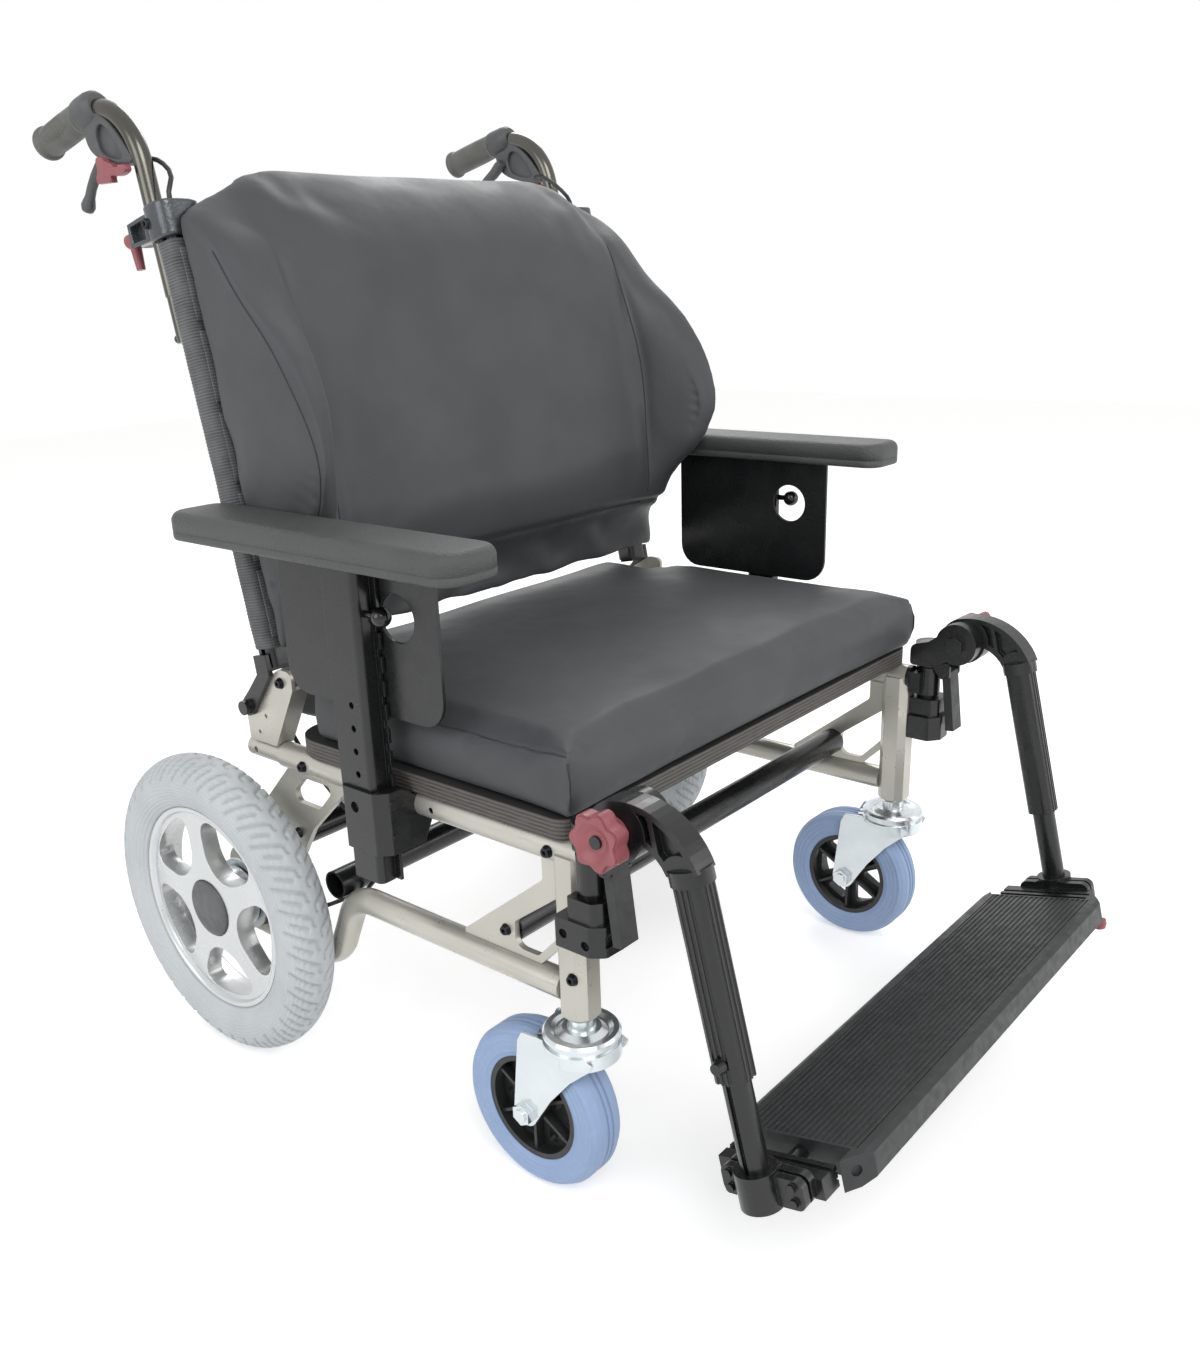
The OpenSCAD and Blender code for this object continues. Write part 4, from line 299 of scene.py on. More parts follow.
# %% Recipe for ringed rubber
def rubber(name, colour, other, dust, groove_shade, middle, pitch, depth, rough):
    """Rubber with mould rings round an axle at (y, z) = middle."""
    mat, tree, shader, where = blank(name)
    centred = add(tree, "VectorMath", "Vector", {0: where, 1: (0, *middle)}, operation="SUBTRACT")
    flat = add(tree, "VectorMath", "Vector", {0: centred, 1: (0, 1, 1)}, operation="MULTIPLY")
    reach = add(tree, "VectorMath", "Value", {0: flat}, operation="LENGTH")
    ring = calc(tree, "SINE", calc(tree, "MULTIPLY", reach, math.tau / pitch))
    cloud = noisy(tree, where, 0.05, 4.0)
    specks = spread(tree, noisy(tree, where, 0.006, 4.0), 0.55, 0.8, 0.0, 0.3)
    tone = blend(tree, specks, clouded(tree, cloud, colour, other), dust)
    # painted shade: an ambient occlusion mask gives the grooves and other hollows a darker colour than the
    # tread
    open_sky = add(tree, "AmbientOcclusion", "AO", {"Distance": 0.004}, samples=6)
    soft = add(tree, "Bevel", "Normal", {"Radius": 0.0012}, samples=4)
    grain = bumped(tree, noisy(tree, where, 0.0007, 2.0), 0.00008, soft)
    fill(tree, shader, {
        "Base Color": blend(tree, spread(tree, open_sky, 0.45, 0.95), groove_shade, tone),
        "Roughness": spread(tree, cloud, 0.0, 1.0, rough - 0.1, rough + 0.1),
        "Normal": bumped(tree, ring, depth, grain)})
    return mat


# (y, z) of the axles
REAR_AXLE, CASTER_AXLE = (FRONT_Y + 0.444, 0.158), (FRONT_Y + 0.047, 0.075)
# non-marking rubber is filled with chalk: pale and dusty
# the fifth colour is painted shade for the grooves
paint["grey_tyre"] = rubber("pale_grey_tyre_rubber", "#bcc1c4", "#c3c8cb", "#d2d5d7", "#7f868b",
                            REAR_AXLE, 0.0034, 0.00018, 0.62)
# elastic rubber is cast softer: a clean light blue with a slight shine
# the fifth colour is painted shade for the grooves
paint["blue_rubber"] = rubber("light_blue_elastic_rubber", "#8fa6cb", "#97add0", "#adbfd9", "#6d84ab",
                              CASTER_AXLE, 0.0048, 0.0002, 0.5)
print("rubbers", paint["grey_tyre"].name, paint["blue_rubber"].name)

# %% [markdown]
# ## Seat board
# The board is birch plywood with a dark film on both faces and a sawn edge. The edge shows its
# layers as light and dark lines about 3.4 mm apart, with fibres along them. Faces and edge are
# told apart by how level the surface is, so one material serves the whole board.

# %% Film-faced plywood
PLY_PITCH = 0.0034
plywood, tree, shader, where = blank("film_faced_plywood")
level = add(tree, "VectorMath", "Vector", {0: where, 1: (0, 0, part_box("seat_board")[0].z)},
            operation="SUBTRACT")
layer = striped(tree, level, PLY_PITCH, "Z")
drawn = add(tree, "Mapping", "Vector", {"Vector": where, "Scale": (0.12, 0.12, 6.0)})
fibre = noisy(tree, drawn, 0.002, 5.0)
edge = blend(tree, spread(tree, layer, 0.25, 0.75), "#2b2a29", "#54504b")
edge = blend(tree, spread(tree, fibre, 0.45, 0.7, 0.0, 0.6), edge, "#77726b")
tilt = add(tree, "SeparateXYZ", "Z", {"Vector": add(tree, "NewGeometry", "Normal", {})})
face = calc(tree, "GREATER_THAN", calc(tree, "ABSOLUTE", tilt), 0.7)
soft = add(tree, "Bevel", "Normal", {"Radius": 0.001}, samples=4)
fill(tree, shader, {
    "Base Color": blend(tree, face, edge, "#2a2a2b"),
    "Roughness": spread(tree, fibre, 0.0, 1.0, 0.4, 0.8),
    "Normal": bumped(tree, calc(tree, "ADD", layer, fibre), 0.00025, soft)})
paint["board_ply"] = plywood
print(plywood.name)

# %% Give every CAD piece its material
slots = {part["node"]: part["material_slot"] for part in frame["record"]["subparts"]}
for name, obj in nodes.items():
    obj.data.materials.clear()
    obj.data.materials.append(paint[slots[name]])
ball = hard("polished_phenolic", "#101112", "#131415", "#26272a", 0.1, 0.0, 0.0008, 0.00001, spot=0.05)
for name in ("lock_knob_left", "lock_knob_right"):
    nodes[name].data.materials[0] = ball
print("materials on", len(nodes), "pieces")

# %% [markdown]
# ## Tools for soft pieces
# A cushion could be sculpted by hand or swollen by simulation. Here each cushion starts from a
# copy of the CAD solid that holds its place. Voxel remeshing gives even faces, a short cloth
# simulation blows it up, and the seams are pressed in afterwards, because a remesh would wipe
# them out.

# %% Finishing and copying
def finished(obj, body, slot, material=None):
    """Puts a new piece on its body and gives it its finish."""
    obj.data.materials.clear()
    obj.data.materials.append(material or paint[slot])
    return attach(obj, body)


def meshed(name, bm):
    """The mesh of a finished bmesh, its faces turned outward."""
    bmesh.ops.recalc_face_normals(bm, faces=bm.faces)
    mesh = bpy.data.meshes.new(name)
    bm.to_mesh(mesh)
    bm.free()
    return mesh


def from_bmesh(name, bm, body, slot, material=None):
    """Turns a finished bmesh into a smooth piece."""
    mesh = meshed(name, bm)
    mesh.shade_smooth()
    return finished(placed(name, mesh), body, slot, material)


def joined(bm, near=2e-5):
    """Joins up points that lie in one place."""
    bmesh.ops.remove_doubles(bm, verts=bm.verts, dist=near)


def copied(node, name):
    """An own copy of a CAD solid, with its loose triangles joined up."""
    bm = bmesh.new()
    bm.from_mesh(nodes[node].data)
    joined(bm)
    return placed(name, meshed(name, bm))


def shown(obj):
    """A new mesh of what an object and its modifiers show."""
    graph = bpy.context.evaluated_depsgraph_get()
    return bpy.data.meshes.new_from_object(obj.evaluated_get(graph), depsgraph=graph)


def apply_modifiers(obj):
    """Makes the shape that the modifiers show the mesh itself."""
    mesh = shown(obj)
    obj.modifiers.clear()
    obj.data, old = mesh, obj.data
    bpy.data.meshes.remove(old)


# %% Remeshing, smoothing and swelling
def relaxed(obj, times):
    """Lets small folds out of a piece."""
    smooth = obj.modifiers.new("relax", "SMOOTH")
    smooth.iterations, smooth.factor = times, 0.5
    apply_modifiers(obj)


def remeshed(obj, voxel, pull_in, smoothing):
    """Even faces, a little smoothing, and room left to swell."""
    remesh = obj.modifiers.new("even", "REMESH")
    remesh.mode, remesh.voxel_size = "VOXEL", voxel
    relaxed(obj, smoothing)
    for v, n in zip(obj.data.vertices, [n.vector.copy() for n in obj.data.vertex_normals]):
        v.co -= n * pull_in


def swollen(obj, pressure, cap, pinned, frames):
    """Blows the piece up as cloth. No point moves further than cap, and pinned points stay."""
    group = obj.vertex_groups.new(name="pin")
    group.add([v.index for v in obj.data.vertices if pinned(v.co)], 1.0, "REPLACE")
    before = [v.co.copy() for v in obj.data.vertices]
    cloth = obj.modifiers.new("Cloth", "CLOTH")
    cloth.settings.use_pressure = True
    cloth.settings.uniform_pressure_force = pressure
    cloth.settings.vertex_group_mass = "pin"
    cloth.settings.effector_weights.gravity = 0
    cloth.settings.quality = 4
    cloth.point_cache.frame_start, cloth.point_cache.frame_end = 1, frames
    for step in range(1, frames + 1):
        scene.frame_set(step)
    moved = shown(obj)
    steps = [new.co - old for new, old in zip(moved.vertices, before)]
    for v, old, step in zip(obj.data.vertices, before, steps):
        v.co = old + step * min(1.0, cap / max(step.length, 1e-9))
    obj.modifiers.clear()
    obj.vertex_groups.clear()
    bpy.data.meshes.remove(moved)
    scene.frame_set(1)
    print(obj.name, "swelled up to", round(max(s.length for s in steps) * 1000, 1), "mm")


def finer(obj):
    """Splits every face in four, smoothly."""
    sub = obj.modifiers.new("finer", "SUBSURF")
    sub.levels = sub.render_levels = 1
    apply_modifiers(obj)
    obj.data.shade_smooth()


def ramp(a, b, x):
    """0 before a, 1 after b, and smooth between them."""
    t = min(1.0, max(0.0, (x - a) / (b - a)))
    return t * t * (3 - 2 * t)


# %% [markdown]
# ## Seat cushion
# A foam block in a fitted cover. The side panels are sewn on, so the long top edges and the
# front corners are crisp, while the front edge of the top rolls over softly. A little noise
# keeps the top from looking like a board.

# %% Seat cushion
seat = copied("seat_cushion", "seat_cushion_cover")
low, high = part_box("seat_cushion")
remeshed(seat, voxel=0.005, pull_in=0.0012, smoothing=1)
swollen(seat, pressure=2.0, cap=0.005, pinned=lambda p: p.z < low.z + 0.004, frames=14)
finer(seat)
for v in seat.data.vertices:
    c = v.co
    top = ramp(low.z + 0.02, high.z - 0.01, c.z)
    c.z += top * 0.0022 * noise.noise(Vector((c.x * 6, c.y * 7, 3)))
    roll = math.exp(-((c.y - low.y - 0.045) / 0.03) ** 2)
    c.z -= top * roll * 0.0012 * math.sin(c.x * 46 + 2 * noise.noise(Vector((c.x * 9, 0, 1))))
    c.z = max(c.z, low.z)
finished(seat, "frame", "cushion_cloth")
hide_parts("seat_cushion")
print("seat faces", len(seat.data.polygons))

# %% [markdown]
# ## Seams
# A seam could be cut into the mesh, but it is thinner than a face. Thin curves are laid on the
# cover instead. Their points are dropped onto the finished surface, so they follow its
# swelling. Twisted thread gives them a faint light and dark beat.

# %% Thread and seam tools
SEAT_THREAD_R, BACK_THREAD_R = 0.0008, 0.0007
thread, tree, shader, where = blank("dark_sewing_thread")
twist = striped(tree, where, 0.002)
fill(tree, shader, {
    "Base Color": blend(tree, twist, "#1f2122", "#2e3132"),
    "Roughness": 0.7,
    "Normal": bumped(tree, twist, 0.0002)})


def dropped(obj, points, direction=None):
    """Points brought onto a piece, along a direction or to the nearest place."""
    shape = BVHTree.FromObject(obj, bpy.context.evaluated_depsgraph_get())
    hits = [shape.ray_cast(Vector(p), Vector(direction))[0] if direction else
            shape.find_nearest(Vector(p))[0] for p in points]
    return [h for h in hits if h is not None]


def piped(name, runs, body, slot, material=None, fineness=7):
    """Round lengths along lists of (place, radius), as one piece."""
    curve = bpy.data.curves.new(name, "CURVE")
    curve.dimensions = "3D"
    curve.bevel_depth, curve.bevel_resolution, curve.use_fill_caps = 1.0, fineness, True
    for run in runs:
        spline = curve.splines.new("POLY")
        spline.points.add(len(run) - 1)
        for point, (place, radius) in zip(spline.points, run):
            point.co, point.radius = (*place, 1), radius
    return finished(placed(name, curve), body, slot, material)


def sewn(name, lines, radius, body):
    """Threads along lists of points, as one piece."""
    runs = [[(place, radius) for place in line] for line in lines]
    return piped(name, runs, body, "cushion_cloth", thread, fineness=1)


# %% Sewn edges of the seat cover
INSET, SEAM_LONG, SEAM_TALL = 0.006, high.y - low.y - 0.14, high.z - low.z - 0.018
edges = []
for x in (low.x, high.x):
    edges.append([(x, low.y + INSET + SEAM_LONG * t / 60, high.z - 0.008) for t in range(61)])
    edges.append([(x, low.y, low.z + INSET + SEAM_TALL * t / 12) for t in range(13)])
sewn("seat_cover_seams", [dropped(seat, e) for e in edges], SEAT_THREAD_R, "frame")
print("seat seams", len(edges))

# %% [markdown]
# ## Back cushion
# The middle panel runs down to a level seam, with a thin skirt below it. At each edge a side
# wing bulges forward. Its inner face meets the panel at a seam. Its outer face is gathered
# onto a smooth front band, and the gathers fan out behind the seam. Simulated gathers need a
# very fine mesh, so these are pressed into the swollen cushion by moving its points.

# %% Swollen back cushion
BACK_PIVOT = Vector((0, FRONT_Y + 0.395, 0.371))
SEAM_X, SEAM_Z, SHOULDER_Z, WING_PUSH = 0.228, 0.494, 0.811, 0.018


def on_back(x, y, z):
    """A place given along the leaning tubes of the back."""
    return BACK_PIVOT + Vector((x, y * math.cos(LEAN) + z * math.sin(LEAN),
                                z * math.cos(LEAN) - y * math.sin(LEAN)))


def ahead(p):
    """How far a point is in front of the plane of the recline pivot."""
    return (p.z - BACK_PIVOT.z) * math.sin(LEAN) - (p.y - BACK_PIVOT.y) * math.cos(LEAN)


back = copied("back_cushion", "back_cushion_cover")
remeshed(back, voxel=0.005, pull_in=0.002, smoothing=8)
rear = min(ahead(v.co) for v in back.data.vertices if 0.5 < v.co.z < 0.8)
swollen(back, pressure=3.0, cap=0.014, frames=20,
        pinned=lambda p: ahead(p) < rear + 0.004 or p.z < SEAM_Z)
relaxed(back, times=24)
finer(back)
for v in back.data.vertices:
    wing = ramp(SEAM_Z, SEAM_Z + 0.08, v.co.z) * ramp(SHOULDER_Z, SHOULDER_Z - 0.1, v.co.z)
    outward = ramp(SEAM_X - 0.006, SEAM_X + 0.03, abs(v.co.x))
    v.co.y -= WING_PUSH * wing * outward * ramp(rear + 0.01, rear + 0.1, ahead(v.co))

# %% Front edge of the wings, by height
WING_OUT, RIM_STEP, RIM_SPAN, FAR_BEHIND = 0.255, 0.006, 4, 9
rim_y = {}
for v in back.data.vertices:
    if abs(v.co.x) > WING_OUT:
        key = round(v.co.z / RIM_STEP)
        rim_y[key] = min(rim_y.get(key, FAR_BEHIND), v.co.y)


def band_y(z):
    """Where the front of a wing is at height z, from the steps near it."""
    at = z / RIM_STEP
    near = [(1 - abs(k - at) / RIM_SPAN, y) for k, y in rim_y.items() if abs(k - at) <= RIM_SPAN - 0.1]
    return sum(w * y for w, y in near) / sum(w for w, y in near) if near else FAR_BEHIND


def band(z):
    """Width of the smooth band round the front of a wing, narrow low down."""
    return 0.007 + 0.011 * ramp(0.585, 0.68, z)


print("wing heights", len(rim_y))

# %% Seams, gathers and folds of the back cover
GATHER_PITCH, SLACK_PITCH, FOLD_PITCH = 0.0118, 0.06, 0.07
# the raised armrest pads pass beside the wings
PAD_ROOM, PAD_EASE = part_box("arm_pad_left")[0].x - 0.001, 0.006
for v, n in zip(back.data.vertices, [n.vector.copy() for n in back.data.vertex_normals]):
    c = v.co.copy()
    s = 1 if c.x > 0 else -1
    wing = ramp(SEAM_Z + 0.01, SEAM_Z + 0.06, c.z) * ramp(SHOULDER_Z, SHOULDER_Z - 0.06, c.z)
    if n.y < -0.1:
        off = abs(abs(c.x) - SEAM_X)
        v.co -= n * 0.0022 * math.exp(-(off / 0.004) ** 2) * wing
        v.co += n * 0.0012 * math.exp(-((off - 0.012) / 0.008) ** 2) * wing
        v.co -= n * 0.003 * math.exp(-((c.z - SEAM_Z) / 0.004) ** 2)
    outer = ramp(0.252, 0.27, abs(c.x)) * wing
    if outer > 0:
        behind = c.y - band_y(c.z) - band(c.z)
        seed = noise.noise(Vector((s * 3, c.z * 9, 0)))
        wave = math.sin((c.z - 0.35 * behind) * math.tau / GATHER_PITCH + 5 * seed)
        size = math.exp(-max(behind, 0) / 0.026) * ramp(0.0, 0.006, behind)
        slack = math.sin((c.z * 0.8 + behind * 0.9) * math.tau / SLACK_PITCH + 4 * seed)
        step = 0.0015 * size * wave * (0.4 + 1.2 * abs(seed)) + 0.002 * slack * ramp(0.0, 0.03, behind)
        v.co.x += s * outer * (step - 0.0026 * math.exp(-(behind / 0.0035) ** 2))
    if c.z < SEAM_Z - 0.002:
        fold = math.tau / FOLD_PITCH * (c.x * s * 0.8 + c.z * 1.3) + 2.5 * noise.noise(c * 14)
        v.co += n * 0.0011 * ramp(SEAM_Z - 0.002, SEAM_Z - 0.03, c.z) * math.sin(fold)
    v.co += n * 0.0014 * noise.noise(c * 8.0)
    over = abs(v.co.x) - PAD_ROOM + PAD_EASE
    if over > 0:
        v.co.x = s * (PAD_ROOM - PAD_EASE * math.exp(-over / PAD_EASE))
finished(back, "back", "cushion_cloth")
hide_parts("back_cushion")
print("back faces", len(back.data.polygons))

# %% Sewn lines of the back cover
run = [SEAM_Z + 0.012 + (SHOULDER_Z - SEAM_Z - 0.045) * t / 70 for t in range(71)]
# the camera's side turns its inner seam under the wing higher up
lines = [dropped(back, [(s * SEAM_X, -0.6, z) for z in (run if s > 0 else run[:38])], (0, 1, 0))
         for s in (-1, 1)]
lines += [dropped(back, [(s * 0.4, band_y(z) + band(z), z) for z in run[5:]], (-s, 0, 0)) for s in (-1, 1)]
lines.append(dropped(back, [(-0.225 + 0.005 * t, -0.6, SEAM_Z) for t in range(91)], (0, 1, 0)))
sewn("back_cover_seams", lines, BACK_THREAD_R, "back")
print("back seams", len(lines))

# %% [markdown]
# ## Woven sleeves
# Each tube of the back wears a tight sleeve with ribs across it. It could be a swept curve, but
# the ribs need control of every ring, so a grid is rolled round the tube: one side of the grid
# runs round, the other runs up. A Solidify modifier then gives the cloth its thickness.

# %% Ribbed sleeves
POST_X, POST_FWD = 0.268, 0.0377
SLEEVE_FOOT, SLEEVE_LONG = 0.054, 0.364
SLEEVE_WIDE, SLEEVE_DEEP, RIB_PITCH = 0.031, 0.027, 0.0031

bm = bmesh.new()
for s in (-1, 1):
    for v in bmesh.ops.create_grid(bm, x_segments=36, y_segments=330, size=0.5)["verts"]:
        a = math.tau * (v.co.x + 0.5)
        z = SLEEVE_FOOT + SLEEVE_LONG * (v.co.y + 0.5)
        # a circle squared a little gives the rounded box of the tube
        square = (abs(math.cos(a)) ** 5 + abs(math.sin(a)) ** 5) ** (-1 / 5)
        rib = 0.00035 * math.sin(math.tau * z / RIB_PITCH) + 0.0005 * noise.noise(Vector((s, 0, z * 30)))
        v.co = on_back(s * POST_X + (SLEEVE_WIDE / 2 * square + rib) * math.cos(a),
                       (SLEEVE_DEEP / 2 * square + rib) * math.sin(a) - POST_FWD, z)
joined(bm)
sleeves = from_bmesh("woven_sleeves", bm, "back", "webbing")
wall = sleeves.modifiers.new("wall", "SOLIDIFY")
wall.thickness, wall.offset = 0.0012, -1
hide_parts("back_sleeves")
print("sleeve faces", len(sleeves.data.polygons))

# %% [markdown]
# ## Back straps
# Five wide straps run between the tubes behind the cushion. Their tension is set with hook
# tape, so they hang a little slack. Each is a grid that sags backwards in its middle, with a
# doubled hem near both ends, and Solidify makes it 2 mm thick.

# %% Straps between the back tubes
STRAPS, STRAP_FOOT, STRAP_STEP, STRAP_HALF = 5, 0.095, 0.071, 0.031
STRAP_REACH, STRAP_BEHIND, HEM = 0.278, -0.052, 0.0007
bm = bmesh.new()
for i in range(STRAPS):
    for v in bmesh.ops.create_grid(bm, x_segments=60, y_segments=8, size=1.0)["verts"]:
        a, b = v.co.x, v.co.y
        sag = 0.007 * (1 - a * a) + 0.0007 * noise.noise(Vector((a * 4.5, b * 2, i)))
        hem = HEM if 0.81 < abs(a) < 0.9 else 0.0
        z = STRAP_FOOT + i * STRAP_STEP + b * STRAP_HALF * (1 - 0.03 * (1 - a * a))
        v.co = on_back(a * STRAP_REACH, STRAP_BEHIND + sag + hem, z)
straps = from_bmesh("back_strap_set", bm, "back", "webbing")
wall = straps.modifiers.new("wall", "SOLIDIFY")
wall.thickness, wall.offset = 0.0019, 0
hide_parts("back_straps")
print("strap faces", len(straps.data.polygons))

# %% [markdown]
# ## Rear rims
# The rims are cast in one piece: a dished face with five petal windows, deep window walls, a
# raised lip and a hub. The CAD rim is plainer, with straight window edges. A profile spun round
# the axle makes the blank, a Boolean with five petals opens it, and a Bevel modifier rounds the
# edges as a casting has them, so that they catch the light.

# %% Spinning a profile round a wheel's axle
AXLE = Vector((0, *REAR_AXLE))
WHEEL_X = 0.3135


def spun(profile, steps):
    """Spins (distance outward, radius) points in millimetres round the X axis."""
    bm = bmesh.new()
    verts = [bm.verts.new((x / 1000, r / 1000, 0)) for x, r in profile]
    edges = [bm.edges.new(pair) for pair in zip(verts, verts[1:])]
    bmesh.ops.spin(bm, geom=verts + edges, cent=(0, 0, 0), axis=(1, 0, 0), dvec=(0, 0, 0),
                   angle=math.tau, steps=steps, use_merge=True)
    joined(bm, 1e-6)
    return bm


def wheel_piece(name, bm, s, side, slot):
    """Turns a wheel part to its side and puts it on the axle, as a piece."""
    if s < 0:
        bmesh.ops.scale(bm, vec=(-1, 1, 1), verts=bm.verts)
    bmesh.ops.translate(bm, vec=AXLE + Vector((s * WHEEL_X, 0, 0)), verts=bm.verts)
    return from_bmesh(name + side, bm, "rear_wheel_" + side, slot)


print("wheel axle at", [round(c, 3) for c in AXLE])

# %% Petal windows
PETALS, CUT_DEEP = 5, 0.06
# each corner of a window: across the wheel, up it, and how far its rounding reaches
PETAL = ((0.044, 0.017, 0.0155), (0.044, -0.017, 0.0155), (0.088, -0.051, 0.026), (0.0985, 0.0, 0.02),
         (0.088, 0.051, 0.026))


def petals():
    """The rounded windows as one cutter."""
    bm = bmesh.new()
    for k in range(PETALS):
        ready = set(bm.verts)
        corners = [(bm.verts.new((-CUT_DEEP / 2, y, z)), reach) for y, z, reach in PETAL]
        bm.faces.new([corner for corner, reach in corners])
        for corner, reach in corners:
            bmesh.ops.bevel(bm, geom=[corner], offset=reach, segments=8, profile=0.5, affect="VERTICES",
                            material=-1)
        turned = [v for v in bm.verts if v not in ready]
        bmesh.ops.rotate(bm, cent=(0, 0, 0), verts=turned,
                         matrix=Matrix.Rotation(math.radians(45 + 360 / PETALS * k), 3, "X"))
    solid = bmesh.ops.extrude_face_region(bm, geom=bm.faces[:])["geom"]
    far = [g for g in solid if isinstance(g, bmesh.types.BMVert)]
    bmesh.ops.translate(bm, vec=(CUT_DEEP, 0, 0), verts=far)
    return bm


print("petals", PETALS)

# %% Cast rims
RIM = [(-22, 0), (-22, 30), (-20, 32), (-5, 33.5), (-3, 37), (-3, 95), (-6, 99), (-15, 100), (-18, 101),
       (-18, 107.8), (-16, 107.8), (-14.4, 103.8), (14.4, 103.8), (16, 107.8), (17.6, 107.8), (18, 107),
       (18, 104), (17.3, 102.8), (13.4, 101.2), (13.2, 99), (14.3, 90), (15.5, 60), (16.6, 42), (16.8, 33),
       (16.8, 30.5), (15, 30), (15, 0)]
for s, side in SIDES:
    rim = wheel_piece("cast_rim_", spun(RIM, steps=120), s, side, "rim_paint")
    cutter = wheel_piece("petal_cutter_", petals(), s, side, "rim_paint")
    cut = rim.modifiers.new("windows", "BOOLEAN")
    cut.object, cut.operation, cut.solver = cutter, "DIFFERENCE", "EXACT"
    edge = rim.modifiers.new("cast_edges", "BEVEL")
    edge.width, edge.segments, edge.limit_method, edge.angle_limit = 0.0014, 3, "ANGLE", math.radians(40)
    apply_modifiers(rim)
    bpy.data.objects.remove(cutter)
    rim.data.shade_smooth()
    rim.data.set_sharp_from_angle(angle=math.radians(38))
    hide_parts("rear_rim_" + side)
    print(rim.name, "faces", len(rim.data.polygons))

# %% [markdown]
# ## Hub caps
# A dark moulded cap is pressed into each hub. It is barely domed, with a soft edge. A cylinder
# would show a hard flat face, so a shallow dome is spun instead.

# %% Hub caps
CAP = [(14, 0), (14, 29.6), (17.6, 29.6), (18.3, 29.2), (18.8, 28.2), (19.2, 24), (19.6, 14), (19.8, 0)]
for s, side in SIDES:
    cap = wheel_piece("hub_cap_", spun(CAP, steps=72), s, side, "grey_plastic")
    cap.data.set_sharp_from_angle(angle=math.radians(50))
print("hub cap faces", len(cap.data.polygons))

# %% [markdown]
# ## Rear tyres
# The solid tyre is moulded with a herringbone tread: long grooves run from the crown to the
# shoulder, with a short one between each pair. Grooves could be cut by Booleans, but eighty
# cuts are slow and fragile. A closed ring of fine faces is drawn in by a formula instead.

# %% Herringbone tyres
TYRE_R, TYRE_HALF, FLANK, TUCK = 0.158, 0.027, 0.03, math.radians(152)
PITCHES, SLANT, GROOVE_DEEP, GROOVE_HALF = 40, 0.52, 0.0019, 0.0019


def groove(turn, w):
    """How deep the tread is drawn in, at a turn round the axle and w metres out from the crown."""
    pitch = math.tau * TYRE_R / PITCHES
    part = ((turn * TYRE_R + SLANT * abs(w)) / pitch + (0.5 if w > 0 else 0)) % 1
    w = abs(w)

    def cut(place, start, end):
        """A groove at a place in the pitch, from start to end metres out."""
        wall = math.exp(-((part - place) * pitch / GROOVE_HALF) ** 4)
        return wall * ramp(start, start + 0.002, w) * ramp(end, end - 0.003, w)

    hook = math.exp(-((w - 0.0035) / 0.0014) ** 4) * ramp(0.2, 0.25, part) * ramp(0.6, 0.55, part)
    return GROOVE_DEEP * max(cut(0.25, 0.002, 0.037), cut(0.75, 0.009, 0.029), hook)


def tyre_point(turn, bend):
    """A point of the tyre: turn round the axle, bend round the section from the crown."""
    tall = TYRE_HALF if abs(bend) < math.pi / 2 else FLANK
    drawn = groove(turn, bend * TYRE_HALF) if abs(bend) < math.pi / 2 else 0.0
    x = (TYRE_HALF - drawn) * math.sin(bend)
    r = TYRE_R - TYRE_HALF + (tall - drawn) * math.cos(bend)
    return Vector((x, r * math.cos(turn), r * math.sin(turn)))


ROUND, ACROSS = 760, 76
for s, side in SIDES:
    bm = bmesh.new()
    rings = [[bm.verts.new(tyre_point(math.tau * k / ROUND, TUCK * (2 * i / (ACROSS - 1) - 1)))
              for i in range(ACROSS)] for k in range(ROUND)]
    for k in range(ROUND):
        ring, after = rings[k - 1], rings[k]
        for i in range(ACROSS):
            bm.faces.new((ring[i - 1], ring[i], after[i], after[i - 1]))
    tyre = wheel_piece("herringbone_tyre_", bm, s, side, "grey_tyre")
    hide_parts("rear_tyre_" + side)
print("tyre faces", len(tyre.data.polygons))

# %% [markdown]
# ## Tubes along a path, and shapes from an outline
# A tube could be a swept ring, but a curve with a round bevel stays round in a bend, and each
# point's radius gives a step or a taper. A brake housing, a latch or a clamp has one clear
# outline and soft edges. A flat curve with thickness and a bevel makes both at once, and a
# second outline inside it makes an opening.

# %% Tools for outlines
HANDLE_X, HANDLE_BEHIND = 0.268, 0.026


def outlined(name, outlines, places, body, slot, thick, edge):
    """A soft-edged plate from outlines in millimetres, which each place brings to the chair."""
    curve = bpy.data.curves.new(name, "CURVE")
    curve.dimensions, curve.fill_mode, curve.resolution_u = "2D", "BOTH", 6
    curve.extrude, curve.bevel_depth, curve.bevel_resolution, curve.offset = thick / 2 - edge, edge, 3, -edge
    for outline in outlines:
        spline = curve.splines.new("NURBS")
        spline.points.add(len(outline) - 1)
        spline.use_cyclic_u, spline.order_u = True, 3
        for point, (a, b) in zip(spline.points, outline):
            point.co = (a, b, 0, 1)
    flat = placed(name, curve)
    mesh = shown(flat)
    bm = bmesh.new()
    for place in places:
        ready = set(bm.verts)
        bm.from_mesh(mesh)
        for v in bm.verts:
            if v not in ready:
                v.co = place(v.co / 1000)
    joined(bm, 1e-6)
    bpy.data.objects.remove(flat)
    bpy.data.meshes.remove(mesh)
    piece = from_bmesh(name, bm, body, slot)
    piece.modifiers.new("flat_faces", "WEIGHTED_NORMAL").keep_sharp = True
    return piece


def side_view(s, out):
    """Brings (y, z) of a side view to the side s, a distance out from the handle's middle."""
    return lambda p: Vector((s * (HANDLE_X + out + p.z), FRONT_Y + p.x, p.y))


def oval(wide, deep):
    """A rounded box as an outline round (0, 0)."""
    return [(wide / 2 * math.copysign(abs(math.cos(a)) ** (2 / 3), math.cos(a)),
             deep / 2 * math.copysign(abs(math.sin(a)) ** (2 / 3), math.sin(a)))
            for a in (math.tau * i / 24 for i in range(24))]


